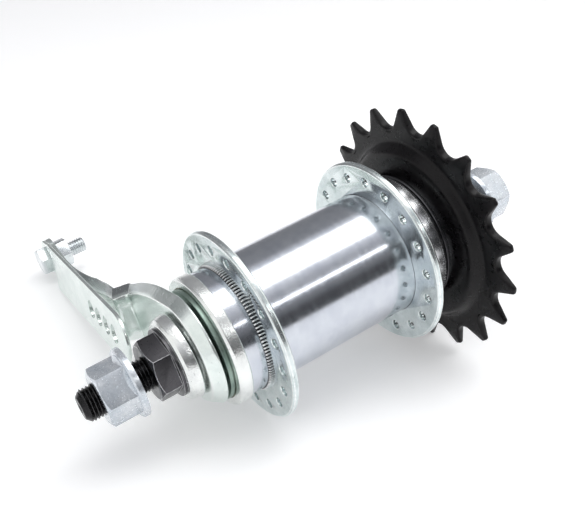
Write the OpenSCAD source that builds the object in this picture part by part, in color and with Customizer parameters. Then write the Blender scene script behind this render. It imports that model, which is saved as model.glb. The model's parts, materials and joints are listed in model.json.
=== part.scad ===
// Rear bicycle hub with a coaster brake: the axle, the brake parts held by the axle, the shell that
// takes the spokes, the driver with its sprocket, and the clip that ties the brake arm to the frame.
// +Y runs along the axle to the sprocket, +Z is up, and the brake arm points along -X.
// The origin is on the axle's centreline, midway between the two faces that meet the frame's dropouts.

/* [Axle and nuts] */
// Diameter of the axle
axle_d = 9.5; // [9:0.1:10]
// Distance between the two lock nut faces, which is the frame's width
over_locknuts = 110; // [108:1:130]
// How far the axle stands past the lock face on the brake side
axle_past_brake = 19.9; // [18:0.1:26]
// How far the axle stands past the lock face on the drive side
axle_past_drive = 18.1; // [17.5:0.1:26]
// Chamfer at the axle's ends
axle_chamfer = 0.8; // [0.3:0.1:1.4]
// Width across the flats of the axle nuts
axle_nut_af = 15; // [14:0.5:17]
// Height of the axle nuts with their flange
axle_nut_h = 10.4; // [8:0.1:12]
// Diameter of the round flange on the axle nuts
axle_nut_flange_d = 20.4; // [18:0.2:24]
// Thickness of the round flange on the axle nuts
axle_nut_flange_t = 1.9; // [1:0.1:3]
// Bare axle left for the frame's dropout on the brake side
dropout_gap_brake = 4.4; // [4.2:0.1:6]
// Bare axle left for the frame's dropout on the drive side
dropout_gap_drive = 6.6; // [4.2:0.1:7]
// Width across the flats of the brake side lock nut
brake_lock_af = 16.5; // [15:0.5:18]
// Height of the brake side lock nut
brake_lock_h = 6.9; // [5:0.1:9]
// Diameter of the round face behind the brake side lock nut
brake_lock_face_d = 20.4; // [18:0.2:22]
// Width across the flats of the drive side lock nut
drive_lock_af = 17; // [15:0.5:19]
// Height of the drive side lock nut
drive_lock_h = 5.5; // [4:0.1:8]

/* [Brake arm] */
// Distance from the axle to the clip bolt
arm_length = 115; // [105:1:130]
// Thickness of the arm's sheet
arm_t = 2; // [1.5:0.1:2.5]
// Radius of the flat face of the arm's head
arm_head_r = 14.9; // [14.4:0.1:16]
// Depth of the arm's turned back edge, sheet included
arm_lip = 3.75; // [3:0.05:4.2]
// How far the turned back edge flares outwards
arm_flare = 2.6; // [1.5:0.1:3]
// How far the arm's middle is set outwards from its head
arm_crank = 4.6; // [3:0.1:6]
// Radius of the arm's eye
arm_eye_r = 7.5; // [6.5:0.1:9]
// Width across the flats of the arm's hexagonal hole
arm_hex_af = 18; // [16:0.5:19]
// Diameter of the domed washer
dome_d = 25.5; // [24:0.1:27]
// Height of the domed washer
dome_h = 4.75; // [4:0.05:6]

/* [Clip] */
// Diameter of the clip bolt
clip_bolt_d = 6; // [5:0.5:6]
// Length of the clip bolt under its head
clip_bolt_l = 15; // [13:1:20]
// Width across the flats of the clip bolt's head and nut
clip_bolt_af = 10; // [8:0.5:10]
// Height of the clip bolt's head
clip_head_h = 4; // [3:0.1:5]
// Height of the clip nut
clip_nut_h = 5; // [4:0.1:6]
// Thickness of the strap
strap_t = 1.3; // [1:0.1:1.6]
// Width of the strap
strap_w = 17; // [14:0.5:20]
// Distance from the clip bolt to the strap's free end
strap_reach = 92; // [84:1:94]
// Roll of the strap about its own length, in degrees
strap_roll = 9; // [0:1:12]
// Slope of the strap down towards its free end, in degrees
strap_slope = 1.7; // [0:0.1:3]
// Lean of the strap away from the arm, in degrees
strap_lean = 1.3; // [1:0.1:2]
// Number of adjusting holes in the strap
strap_holes = 4; // [2:1:5]
// Diameter of the adjusting holes
strap_hole_d = 6.2; // [5.2:0.1:6.4]
// Distance from one adjusting hole to the next
strap_hole_pitch = 7.6; // [7:0.1:9]
// Distance from the last adjusting hole to the free end
strap_hole_end = 12; // [9:0.5:14]

/* [Shell and flanges] */
// Outer diameter of the shell's barrel
barrel_d = 38.4; // [37.8:0.1:40]
// Thickness of the barrel's wall, inside which the brake shoes press
shell_wall = 2.2; // [2:0.1:2.4]
// How much lower the neck on the brake side is than the barrel
neck_step = 0.3; // [0:0.1:0.6]
// Length of the neck between the brake side collar and the knurl
neck_w = 4.7; // [4:0.1:8]
// How far the knurled band stands out from the neck
knurl_rise = 0.7; // [0.3:0.1:1.3]
// Length of the knurled band
knurl_w = 1.6; // [1:0.1:3]
// Diameter of both spoke flanges
flange_d = 58; // [56:0.5:66]
// Thickness of both spoke flanges
flange_t = 2.2; // [1.8:0.1:3]
// Number of spoke holes in each flange
spoke_count = 18; // [14:1:18]
// Diameter of the circle through the spoke holes
spoke_circle_d = 49; // [48:0.5:52]
// Diameter of each spoke hole
spoke_hole_d = 2.9; // [2.4:0.1:3.2]
// Turn of the brake side spoke holes against the drive side ones, in degrees
spoke_offset = 9; // [0:1:20]
// How far the brake side cup's collar stands out from the neck
brake_cup_rise = 0.9; // [0.6:0.1:2]
// Length of the brake side cup's collar
brake_cup_w = 3.95; // [3:0.05:5]
// How far the drive side cup's collar stands out from the barrel
drive_cup_rise = 2.3; // [1.8:0.1:3.8]
// Length of the drive side cup's collar
drive_cup_w = 8.8; // [8:0.1:10]

/* [Driver and sprocket] */
// Number of teeth on the sprocket
teeth = 18; // [16:1:22]
// Pitch of the chain
chain_pitch = 12.7; // [12.7:0.1:12.8]
// Height of the teeth above the pitch circle
tooth_rise = 3.05; // [2.4:0.05:3.3]
// Radius of the round gap between two teeth
tooth_gap_r = 4; // [3.9:0.05:4.2]
// Thickness of the sprocket
sprocket_t = 2.6; // [2:0.1:3]
// How far the teeth are set outwards from the sprocket's middle
sprocket_dish = 3.05; // [2.8:0.05:3.4]
// Diameter of the driver where the sprocket sits
driver_seat_d = 34.6; // [34:0.1:35.2]
// Width of the driver's slots
driver_slot_w = 8; // [6:0.5:10]
// Depth of the driver's slots
driver_slot_d = 1.6; // [1.2:0.1:1.8]
// Thickness of the clutch's wall round the driver's screw
clutch_wall = 1.2; // [1.1:0.1:1.5]
// Thickness of the snap ring
snap_ring_t = 1.1; // [0.9:0.1:1.3]
// Outer diameter of the snap ring
snap_ring_d = 37.2; // [36.4:0.2:39]
// Width of the driver's dust cap
driver_cap_w = 3.15; // [2:0.05:3.6]

/* [Bearings] */
// Diameter of the balls that carry the shell
shell_ball_d = 6.35; // [6.2:0.05:6.4]
// Diameter of the balls between the driver and its cone
cone_ball_d = 4.76; // [4.6:0.02:4.8]
// Number of balls in the brake side bearing
brake_balls = 10; // [8:1:11]
// Number of balls between the shell and the driver
drive_balls = 11; // [9:1:12]
// Number of balls between the driver and its cone
cone_balls = 10; // [8:1:11]
// How far the brake side ball circle lies inside the shell's bore
brake_ball_inset = 3.4; // [3.3:0.05:3.5]
// How far the ball circle between the shell and the driver lies inside the shell's bore
drive_ball_inset = 1.8; // [1.7:0.05:2]
// Radius of the ball circle between the driver and its cone
cone_ball_circle_r = 10.4; // [10.3:0.05:10.5]
// Length of the brake cone from the arm to its ball circle
brake_cone_head = 8.35; // [8:0.05:9]
// Length of the drive cone between its lock nut and its round head
drive_cone_neck = 6.5; // [4:0.1:9]
// Length of the drive cone's head from the neck to its ball circle
drive_cone_head = 5; // [4.2:0.1:6]

/* [Brake] */
// Slope of the brake cones against the axle, in degrees
brake_slope = 20; // [18:1:22]
// How far the brake cones' rims lie inside the brake side ball circle
brake_cone_inset = 3.4; // [3.3:0.1:3.6]
// Width of the gap between the two brake shoes
shoe_gap = 5.2; // [4.8:0.1:6]
// Clearance round the brake shoes
shoe_clear = 0.35; // [0.3:0.01:0.4]
// Slope of the drive clutch against the axle, in degrees
clutch_slope = 10; // [9:0.5:11]

/* [Hidden] */

$fn = 96;
// Clearance of threads and of pieces that are fixed to each other
fixed_fit = 0.05;
// Clearance of pieces that turn or slide on each other
turning_fit = 0.1;
// Clearance between balls and their races
ball_fit = 0.02;
// Clearance between balls and their cages
cage_fit = 0.12;
// How far a cage stands past its balls
cage_past = 0.45;
// Clearance between pieces that pass without touching
pass_gap = 0.3;
// How far a cut runs past the piece that it cuts
cut_past = 1;
// How far the small end of a nut's chamfer lies inside its flats, and the chamfer's tilt in degrees
hex_inset = 0.2;
chamfer_tilt = 30;
// How far each hexagon is turned about its own axis, in degrees
axle_nut_turn = 1.5;
brake_lock_turn = 39.5;
drive_lock_turn = 10;
clip_head_turn = 20;
clip_nut_turn = 5;
// Number of slots that key the sprocket on the driver, and the place of the first one in degrees
slot_count = 3;
slot_first = 60;

axle_r = axle_d / 2;
shell_r = barrel_d / 2;
bore_r = shell_r - shell_wall;
neck_r = shell_r - neck_step;
knurl_r = neck_r + knurl_rise;
brake_cup_r = neck_r + brake_cup_rise;
drive_cup_r = shell_r + drive_cup_rise;
brake_ball_circle_r = bore_r - brake_ball_inset;
drive_ball_circle_r = bore_r - drive_ball_inset;
brake_cone_r = brake_ball_circle_r - brake_cone_inset;
lock_face = over_locknuts / 2;
shell_ball_r = shell_ball_d / 2;
cone_ball_r = cone_ball_d / 2;
cone_head_r = cone_ball_circle_r - turning_fit;

// Places along the axle on the brake side, from the frame inwards
arm_face_y = -lock_face + brake_lock_h + dome_h;
arm_back_y = arm_face_y + arm_t;
brake_ball_y = arm_back_y + brake_cone_head;
cup_lip = 4.25;
brake_cup_y = brake_ball_y - cup_lip;
neck_y = brake_cup_y + brake_cup_w;
knurl_y = neck_y + neck_w;
brake_flange_y = knurl_y + knurl_w;
axle_tip_brake_y = -lock_face - axle_past_brake;

// Places along the axle on the drive side, from the frame inwards
drive_cone_y = lock_face - drive_lock_h;
cone_head_y = drive_cone_y - drive_cone_neck;
cone_ball_y = cone_head_y - drive_cone_head;
driver_past_balls = 1.12;
driver_end_y = cone_ball_y + cone_ball_r + driver_past_balls;
tooth_past_balls = 2.75;
tooth_y = cone_ball_y + tooth_past_balls;
web_y = tooth_y - sprocket_t / 2 - sprocket_dish;
shoulder_w = 1.4;
shoulder_y = web_y - shoulder_w;
shoulder_past_balls = 6.5;
drive_ball_y = shoulder_y - shoulder_past_balls;
cup_mouth = 5.2;
drive_cup_end_y = drive_ball_y + cup_mouth;
drive_flange_y = drive_cup_end_y - drive_cup_w;
axle_tip_drive_y = lock_face + axle_past_drive;

// Brake cup, its bore and its spigot in the shell
cup_throat = 0.3;
brake_bore_r = brake_ball_circle_r + shell_ball_r + cup_throat;
spigot_step = 0.4;
spigot_r = bore_r + spigot_step;
spigot_past_balls = 1.03;
spigot_end_y = brake_ball_y + shell_ball_r + spigot_past_balls;
drive_spigot_r = bore_r + spigot_step / 2;
drive_spigot_past = 3.5;
drive_spigot_y = drive_ball_y - shell_ball_r - drive_spigot_past;
drive_bore_r = drive_ball_circle_r + shell_ball_r + cup_throat;

// Brake cones, shoes and clutch
brake_tan = tan(brake_slope);
clutch_tan = tan(clutch_slope);
cone_gap = shoe_clear / cos(brake_slope);
taper_gap = shoe_clear / cos(clutch_slope);
brake_cone_tip_step = 3.8;
brake_cone_tip_r = brake_cone_r - brake_cone_tip_step;
cone_body_l = 6;
cone_taper_y = brake_ball_y + cone_body_l;
cone_tip_y = cone_taper_y + (brake_cone_r - brake_cone_tip_r) / brake_tan;
shoe_r = bore_r - shoe_clear;
shoe_wall = 9.45;
shoe_bore_r = shoe_r - shoe_wall;
shoe_mouth_r = brake_cone_r;
shoe_start_y = cone_taper_y + cone_gap / brake_tan;
shoe_taper_l = (shoe_mouth_r - shoe_bore_r) / brake_tan;
key_gap = 0.4;
key_w = shoe_gap - 2 * key_gap;
key_inset = 0.4;
key_r = brake_ball_circle_r - key_inset;
key_l = 8.3;
key_y = spigot_end_y + key_gap;
taper_from_balls = 19.5;
bore_taper_y = drive_ball_y - taper_from_balls;
bore_ring_step = 1.7;
bore_ring_r = bore_r - bore_ring_step;
bore_ring_y = bore_taper_y + bore_ring_step / clutch_tan;
clutch_disc_y = bore_taper_y + pass_gap;
clutch_short = 1;
clutch_end_y = bore_ring_y - clutch_short;
spring_seat_w = 2.5;
clutch_rim_w = 1.1;
clutch_left_y = clutch_disc_y - clutch_rim_w - spring_seat_w;
shoe_end_y = clutch_left_y - cone_gap / brake_tan;
clutch_tip_step = 3.6;
clutch_tip_r = brake_cone_r - clutch_tip_step;
clutch_tip_y = clutch_left_y - (brake_cone_r - clutch_tip_r) / brake_tan;
clutch_rim_r = key_r;
screw_r = brake_cone_r - clutch_wall - pass_gap;
screw_start = 2;
screw_start_y = clutch_left_y + screw_start;
screw_end_y = drive_ball_y - shoulder_past_balls;
driver_bore_r = axle_r + pass_gap + turning_fit;
nose_bore_r = 8.6;
nose_l = 3.4;
cone_shoulder_inset = 1.6;
cone_shoulder_r = brake_ball_circle_r - cone_shoulder_inset;
cone_shoulder_back = 4.6;

// Driver, its seat and what it carries
seat_r = driver_seat_d / 2;
shoulder_rise = 1.7;
race_step = 0.2;
shoulder_r = seat_r + shoulder_rise;
driver_race_r = drive_ball_circle_r - shell_ball_r - cup_throat;
driver_cup_r = cone_ball_circle_r + cone_ball_r + turning_fit;
web_end_y = web_y + sprocket_t;
snap_y = web_end_y + turning_fit;
snap_groove_d = 1;
snap_groove_r = seat_r - snap_groove_d;
dust_cap_t = 0.8;

// Sprocket
pitch_r = chain_pitch / (2 * sin(180 / teeth));
tip_r = pitch_r + tooth_rise;
gap_out = 0.8;
gap_centre_r = pitch_r + gap_out;
tip_half_w = 1;
dish_from_pitch = 7.8;
dish_run = 2.6;
dish_out_r = pitch_r - dish_from_pitch;
dish_in_r = dish_out_r - dish_run;
tooth_phase = 5.2;

// Arm: stations along the arm with the face's upper and lower edge, from the head to the eye
arm_mid_y = arm_face_y - arm_crank;
arm_stations = [
    [1, 14.5, -14.5], [-13, 13.4, -13.6], [-25, 10.7, -11.4], [-38, 6.3, -9.7], [-43, 5.2, -9.3],
    [-50, 3.9, -8.9], [-62, 1.6, -8.5], [-75, 0.6, -8], [-90, 0.8, -7.6], [-99, 2.4, -7.3]];
crank_start = -38;
crank_end = -43;
lip_fade_start = -68;
lip_fade_end = -99;
eye_station = -115;
eye_neck_station = -98;
eye_neck_r = 4.9;
eye_neck_z = -2.5;

// Clip
clip_y = arm_mid_y - fixed_fit;
clip_head_y = clip_y - strap_t - fixed_fit;
strap_neck = 12;
strap_step = 1.6;
clip_hole_r = clip_bolt_d / 2 + turning_fit;

// Turns the Z axis to the Y axis, so that a piece drawn upright lies along the axle
module along_axle(y = 0) {
    translate([0, y, 0]) rotate([-90, 0, 0]) children();
}

// A solid turned about the axle from an outline of [radius, place along the axle]
module turned(outline) {
    rotate([-90, 0, 0]) rotate_extrude($fn = 120) polygon(outline);
}

// A plain tube along the axle
module tube(outer, inner, y0, y1) {
    turned([[inner, y0], [outer, y0], [outer, y1], [inner, y1]]);
}

// Corner radius of a hexagon from its width across flats
function hex_r(af) = af / 2 / cos(30);

// A hexagonal prism along the axle, its corners at the given angle
module hex_prism(af, y0, y1, angle = 0) {
    rotate([0, -angle, 0]) along_axle(y0) cylinder(r = hex_r(af), h = y1 - y0, $fn = 6);
}

// A ring of balls
module ball_ring(circle_r, ball_r, y, count) {
    for (i = [0 : count - 1]) {
        rotate([0, i * 360 / count, 0]) translate([circle_r, y, 0]) sphere(r = ball_r, $fn = 48);
    }
}

// A round groove for balls, to be cut from a race
module ball_groove(circle_r, ball_r, y) {
    rotate([-90, 0, 0]) rotate_extrude($fn = 120)
        translate([circle_r, y]) circle(r = ball_r + ball_fit, $fn = 72);
}

// A one piece cage on the outer side of a ball ring, open where the balls are
module cage(circle_r, ball_r, y, count, towards, reach, depth) {
    inner = circle_r + pass_gap;
    near = y + towards * pass_gap;
    far = y + towards * depth;
    difference() {
        tube(reach, inner, min(near, far), max(near, far));
        ball_ring(circle_r, ball_r + cage_fit, y, count);
    }
}

// Axle: a threaded rod with chamfered ends
module axle() {
    color([0.11, 0.11, 0.12])
    turned([
        [0, axle_tip_brake_y], [axle_r - axle_chamfer, axle_tip_brake_y],
        [axle_r, axle_tip_brake_y + axle_chamfer], [axle_r, axle_tip_drive_y - axle_chamfer],
        [axle_r - axle_chamfer, axle_tip_drive_y], [0, axle_tip_drive_y]]);
}

// Flanged nut that clamps the frame: its round face is at y and it points to the given side
module axle_nut(y, side, angle) {
    nut_round = 0.5;
    cone_h = 1.2;
    inner = axle_nut_af / 2 - hex_inset;
    corner = hex_r(axle_nut_af) + cut_past;
    flange_r = axle_nut_flange_d / 2;
    mirror([0, side < 0 ? 1 : 0, 0]) difference() {
        union() {
            intersection() {
                hex_prism(axle_nut_af, y + axle_nut_flange_t, y + axle_nut_h, side * angle);
                turned([[0, y], [corner, y],
                    [corner, y + axle_nut_h - (corner - inner) * tan(chamfer_tilt)],
                    [inner, y + axle_nut_h], [0, y + axle_nut_h]]);
            }
            turned([[0, y], [flange_r, y], [flange_r, y + axle_nut_flange_t - nut_round],
                [flange_r - nut_round, y + axle_nut_flange_t],
                [hex_r(axle_nut_af), y + axle_nut_flange_t],
                [inner, y + axle_nut_flange_t + cone_h], [0, y + axle_nut_flange_t + cone_h]]);
        }
        along_axle(y - cut_past) cylinder(r = axle_r + fixed_fit, h = axle_nut_h + 2 * cut_past);
    }
}

module axle_nut_brake() {
    color([0.75, 0.77, 0.8]) axle_nut(lock_face + dropout_gap_brake, -1, -axle_nut_turn);
}

module axle_nut_drive() {
    color([0.75, 0.77, 0.8]) axle_nut(lock_face + dropout_gap_drive, 1, axle_nut_turn);
}

// Thick black lock nut outside the brake arm, with a round face on its inner side
module lock_nut_brake() {
    inner = brake_lock_af / 2 - hex_inset;
    corner = hex_r(brake_lock_af) + cut_past;
    face_w = 1;
    inner_y = -lock_face + brake_lock_h;
    color([0.13, 0.13, 0.14]) difference() {
        union() {
            intersection() {
                hex_prism(brake_lock_af, -lock_face, inner_y, brake_lock_turn);
                turned([[0, -lock_face], [inner, -lock_face],
                    [corner, -lock_face + (corner - inner) * tan(chamfer_tilt)],
                    [corner, inner_y], [0, inner_y]]);
            }
            tube(brake_lock_face_d / 2, axle_r, inner_y - face_w, inner_y);
        }
        along_axle(-lock_face - cut_past)
            cylinder(r = axle_r + fixed_fit, h = brake_lock_h + 2 * cut_past);
    }
}

// Lock nut outside the drive cone
module lock_nut_drive() {
    inner = drive_lock_af / 2 - hex_inset;
    corner = hex_r(drive_lock_af) + cut_past;
    color([0.7, 0.72, 0.74]) difference() {
        intersection() {
            hex_prism(drive_lock_af, drive_cone_y, lock_face, drive_lock_turn);
            turned([[0, drive_cone_y], [corner, drive_cone_y],
                [corner, lock_face - (corner - inner) * tan(chamfer_tilt)],
                [inner, lock_face], [0, lock_face]]);
        }
        along_axle(drive_cone_y - cut_past)
            cylinder(r = axle_r + fixed_fit, h = drive_lock_h + 2 * cut_past);
    }
}

// Bright domed washer between the lock nut and the arm: its middle bears on the arm
module domed_washer() {
    dome_r = dome_d / 2;
    front_y = arm_face_y - dome_h;
    rim_lift = 0.85;
    rim_back_y = arm_face_y - rim_lift;
    boss_r = 9.5;
    wall = 1.2;
    inside_step = 0.6;
    floor_step = 0.2;
    // Edge of the dome, as steps inwards from its rim and back from its front
    edge = [[1.85, 0], [1.3, 0.25], [0.7, 1.1], [0.25, 2.2]];
    color([0.82, 0.84, 0.86]) turned([
        [axle_r + fixed_fit, front_y], for (step = edge) [dome_r - step[0], front_y + step[1]],
        [dome_r, rim_back_y], [dome_r - wall, rim_back_y],
        [dome_r - wall - inside_step, front_y + wall + inside_step],
        [boss_r, front_y + wall + floor_step], [boss_r, arm_face_y], [axle_r + fixed_fit, arm_face_y]]);
}

// Straight line between two values
function mix(a, b, t) = a + (b - a) * max(0, min(1, t));

// Place along the axle of the arm's outer face at a station
function arm_y(x) = mix(arm_face_y, arm_mid_y, (crank_start - x) / (crank_start - crank_end));

// How much of the turned back edge is left at a station
function lip_share(x) = 1 - max(0, min(1, (lip_fade_start - x) / (lip_fade_start - lip_fade_end)));

// Place of a station: those past the crank move with the arm's length
function station_x(x) =
    x < crank_end ? crank_end + (x - crank_end) * (arm_length + crank_end) / (crank_end - eye_station) : x;

// Slope of the turned back edge at a station
function lip_slope(x) = lip_share(x) * arm_flare / arm_lip;

// Corners of one cross-section: from y0 behind the arm's face to past the lip by extra, narrower by shrink
function arm_section(s, shrink, y0, extra) =
    let (
        x = station_x(s[0]),
        y = arm_y(s[0]),
        y1 = mix(arm_t, arm_lip, lip_share(s[0])) + extra,
        grow0 = lip_slope(s[0]) * y0 - shrink,
        grow1 = lip_slope(s[0]) * y1 - shrink)
    [[x, y + y0, s[1] + grow0], [x, y + y1, s[1] + grow1],
     [x, y + y1, s[2] - grow1], [x, y + y0, s[2] - grow0]];

// A solid with four long edges that runs through the arm's stations
module arm_sweep(shrink, y0, extra) {
    n = len(arm_stations);
    points = [for (s = arm_stations) each arm_section(s, shrink, y0, extra)];
    sides = [for (i = [0 : n - 2], k = [0 : 3])
        let (a = 4 * i + k, b = 4 * i + (k + 1) % 4, c = a + 4, d = b + 4)
        each [[a, d, b], [a, c, d]]];
    e = 4 * (n - 1);
    ends = [[1, 2, 3], [0, 1, 3], [e + 2, e + 1, e], [e + 3, e + 2, e]];
    polyhedron(points = points, faces = concat(sides, ends));
}

// Brake arm: a pressed steel arm with a dished head, a crank and turned back edges
module brake_arm() {
    slope = arm_flare / arm_lip;
    wall = arm_t / cos(atan(slope));
    past = 0.5;
    inner_r = arm_head_r - wall;
    color([0.72, 0.76, 0.75]) difference() {
        union() {
            turned([[0, arm_face_y], [arm_head_r, arm_face_y],
                [arm_head_r + arm_flare, arm_face_y + arm_lip], [0, arm_face_y + arm_lip]]);
            arm_sweep(0, 0, 0);
            hull() {
                translate([station_x(eye_neck_station), arm_mid_y, eye_neck_z])
                    along_axle() cylinder(r = eye_neck_r, h = arm_t, $fn = 32);
                translate([-arm_length, arm_mid_y, 0])
                    along_axle() cylinder(r = eye_neck_r, h = arm_t, $fn = 32);
            }
            translate([-arm_length, arm_mid_y, 0]) along_axle() cylinder(r = arm_eye_r, h = arm_t);
        }
        turned([[0, arm_back_y], [inner_r + slope * arm_t, arm_back_y],
            [inner_r + slope * (arm_lip + past), arm_face_y + arm_lip + past],
            [0, arm_face_y + arm_lip + past]]);
        arm_sweep(wall, arm_t, past);
        hex_prism(arm_hex_af + 2 * fixed_fit, arm_face_y - cut_past, arm_back_y + cut_past);
        translate([-arm_length, arm_mid_y - cut_past, 0])
            along_axle() cylinder(r = clip_bolt_d / 2 + fixed_fit, h = arm_t + 2 * cut_past);
    }
}

// Brake cone: it carries the shell's balls, holds the shoes from turning and wedges them apart
module brake_cone() {
    rim_r = brake_ball_circle_r - race_step;
    relief = 0.6;
    body_r = brake_ball_circle_r - shell_ball_r - cup_throat;
    color([0.55, 0.56, 0.58]) difference() {
        union() {
            hex_prism(arm_hex_af, arm_face_y + turning_fit, arm_back_y);
            turned([[0, arm_back_y], [cone_shoulder_r, arm_back_y],
                [cone_shoulder_r, brake_ball_y - cone_shoulder_back],
                [rim_r, brake_ball_y - cone_shoulder_back], [rim_r, brake_ball_y], [body_r, brake_ball_y],
                [body_r, cone_taper_y - relief], [brake_cone_r, cone_taper_y - relief],
                [brake_cone_r, cone_taper_y],
                [brake_cone_tip_r, cone_tip_y], [0, cone_tip_y]]);
            intersection() {
                translate([-key_w / 2, key_y, -key_r]) cube([key_w, key_l, 2 * key_r]);
                tube(key_r, 0, key_y, key_y + key_l);
            }
        }
        ball_groove(brake_ball_circle_r, shell_ball_r, brake_ball_y);
        along_axle(arm_face_y) cylinder(r = axle_r + fixed_fit, h = cone_tip_y - arm_face_y + cut_past);
    }
}

// Dust cap pressed on the brake cone, it closes the shell's end behind the arm
module brake_dust_cap() {
    cap_r = brake_bore_r - pass_gap;
    inner = cone_shoulder_r + fixed_fit;
    cap_w = 1.6;
    cap_back = 1;
    cap_y = brake_ball_y - cone_shoulder_back - cap_back;
    color([0.3, 0.31, 0.32]) turned([
        [inner, cap_y], [cap_r, cap_y], [cap_r, cap_y + cap_w], [cap_r - dust_cap_t, cap_y + cap_w],
        [cap_r - dust_cap_t, cap_y + dust_cap_t], [inner, cap_y + dust_cap_t]]);
}

// Cone on the drive side, with two flats for a thin spanner
module drive_cone() {
    nose_r = cone_ball_circle_r - cone_ball_r - race_step;
    cone_neck_r = 8.6;
    flats_w = 15;
    flats_start = 1;
    cut = 4;
    color([0.55, 0.56, 0.58]) difference() {
        turned([[0, cone_ball_y - nose_l], [nose_r, cone_ball_y - nose_l], [nose_r, cone_ball_y],
            [cone_head_r, cone_ball_y], [cone_head_r, cone_head_y],
            [cone_neck_r, cone_head_y], [cone_neck_r, drive_cone_y],
            [0, drive_cone_y]]);
        ball_groove(cone_ball_circle_r, cone_ball_r, cone_ball_y);
        for (side = [-1, 1]) {
            translate([-cone_neck_r - cut_past, cone_head_y + flats_start,
                side > 0 ? flats_w / 2 : -flats_w / 2 - cut])
                cube([2 * (cone_neck_r + cut_past), drive_cone_neck, cut]);
        }
        along_axle(cone_ball_y - nose_l - cut_past)
            cylinder(r = axle_r + fixed_fit, h = drive_cone_y - cone_ball_y + nose_l + 2 * cut_past);
    }
}

// Small dust cap pressed on the drive cone, it closes the driver's end
module cone_dust_cap() {
    inner = cone_head_r + fixed_fit;
    outer = driver_cup_r - pass_gap;
    cap_w = 0.8;
    color([0.3, 0.31, 0.32]) tube(outer, inner, driver_end_y - cap_w, driver_end_y);
}

// Shell: the barrel and its neck in one piece, bored for the shoes and for the drive clutch
module hub_shell() {
    color([0.62, 0.66, 0.7]) turned([
        [spigot_r, neck_y], [neck_r, neck_y], [neck_r, knurl_y], [knurl_r, knurl_y],
        [knurl_r, brake_flange_y], [shell_r, brake_flange_y], [shell_r, drive_flange_y],
        [drive_spigot_r, drive_flange_y], [drive_spigot_r, drive_spigot_y], [bore_ring_r, drive_spigot_y],
        [bore_ring_r, bore_ring_y], [bore_r, bore_taper_y], [bore_r, spigot_end_y],
        [spigot_r, spigot_end_y]]);
}

// A spoke flange pressed on the shell, with its ring of spoke holes
module spoke_flange(y, phase) {
    flange_r = flange_d / 2;
    edge = 0.5;
    difference() {
        turned([[shell_r, y], [flange_r - edge, y], [flange_r, y + edge], [flange_r, y + flange_t - edge],
            [flange_r - edge, y + flange_t], [shell_r, y + flange_t]]);
        for (i = [0 : spoke_count - 1]) {
            rotate([0, -phase - i * 360 / spoke_count, 0]) translate([spoke_circle_d / 2, y - cut_past, 0])
                along_axle() cylinder(d = spoke_hole_d, h = flange_t + 2 * cut_past, $fn = 32);
        }
    }
}

module flange_brake() {
    color([0.76, 0.8, 0.79]) spoke_flange(brake_flange_y, spoke_offset);
}

module flange_drive() {
    color([0.76, 0.8, 0.79]) spoke_flange(drive_flange_y - flange_t, 0);
}

// Ball cup pressed into the shell's brake end, its collar stands outside
module cup_brake() {
    collar_edge = 0.7;
    color([0.8, 0.83, 0.84]) difference() {
        turned([[brake_bore_r, brake_cup_y], [brake_cup_r - collar_edge, brake_cup_y],
            [brake_cup_r, brake_cup_y + collar_edge], [brake_cup_r, neck_y], [spigot_r, neck_y],
            [spigot_r, spigot_end_y], [brake_ball_circle_r, spigot_end_y],
            [brake_ball_circle_r, brake_ball_y], [brake_bore_r, brake_ball_y]]);
        ball_groove(brake_ball_circle_r, shell_ball_r, brake_ball_y);
    }
}

// Ball cup pressed into the shell's drive end, its collar hides the driver
module cup_drive() {
    collar_edge = 1;
    color([0.7, 0.73, 0.75]) difference() {
        turned([[drive_ball_circle_r, drive_spigot_y], [drive_spigot_r, drive_spigot_y],
            [drive_spigot_r, drive_flange_y], [drive_cup_r, drive_flange_y],
            [drive_cup_r, drive_cup_end_y - collar_edge], [drive_cup_r - collar_edge, drive_cup_end_y],
            [drive_bore_r, drive_cup_end_y], [drive_bore_r, drive_ball_y],
            [drive_ball_circle_r, drive_ball_y]]);
        ball_groove(drive_ball_circle_r, shell_ball_r, drive_ball_y);
    }
}

// Driver: it carries the sprocket, runs on two rings of balls and screws the clutch to and fro
module driver() {
    rim_r = drive_ball_circle_r - race_step;
    rim_past = 0.5;
    rim_end_y = drive_ball_y + shell_ball_r + rim_past;
    rim_slope = 1.9;
    color([0.5, 0.51, 0.53]) difference() {
        turned([[0, screw_start_y], [screw_r, screw_start_y], [screw_r, screw_end_y],
            [driver_race_r, screw_end_y], [driver_race_r, drive_ball_y], [rim_r, drive_ball_y],
            [rim_r, rim_end_y], [seat_r, rim_end_y + rim_slope],
            [seat_r, shoulder_y], [shoulder_r, shoulder_y], [shoulder_r, web_y], [seat_r, web_y],
            [seat_r, snap_y], [snap_groove_r, snap_y], [snap_groove_r, snap_y + snap_ring_t + turning_fit],
            [seat_r, snap_y + snap_ring_t + turning_fit], [seat_r, driver_end_y], [0, driver_end_y]]);
        ball_groove(drive_ball_circle_r, shell_ball_r, drive_ball_y);
        along_axle(screw_start_y - cut_past)
            cylinder(r = driver_bore_r, h = driver_end_y - screw_start_y + 2 * cut_past);
        turned([[0, cone_ball_y - nose_l - pass_gap], [nose_bore_r, cone_ball_y - nose_l - pass_gap],
            [nose_bore_r, cone_ball_y - cone_ball_r],
            [cone_ball_circle_r, cone_ball_y - cone_ball_r], [cone_ball_circle_r, cone_ball_y],
            [driver_cup_r, cone_ball_y], [driver_cup_r, driver_end_y + cut_past],
            [0, driver_end_y + cut_past]]);
        ball_groove(cone_ball_circle_r, cone_ball_r, cone_ball_y);
        for (i = [0 : slot_count - 1]) {
            rotate([0, -slot_first - i * 360 / slot_count, 0])
                translate([seat_r - driver_slot_d, web_y, -driver_slot_w / 2])
                cube([driver_slot_d + cut_past, driver_end_y - web_y + cut_past, driver_slot_w]);
        }
    }
}

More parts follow.
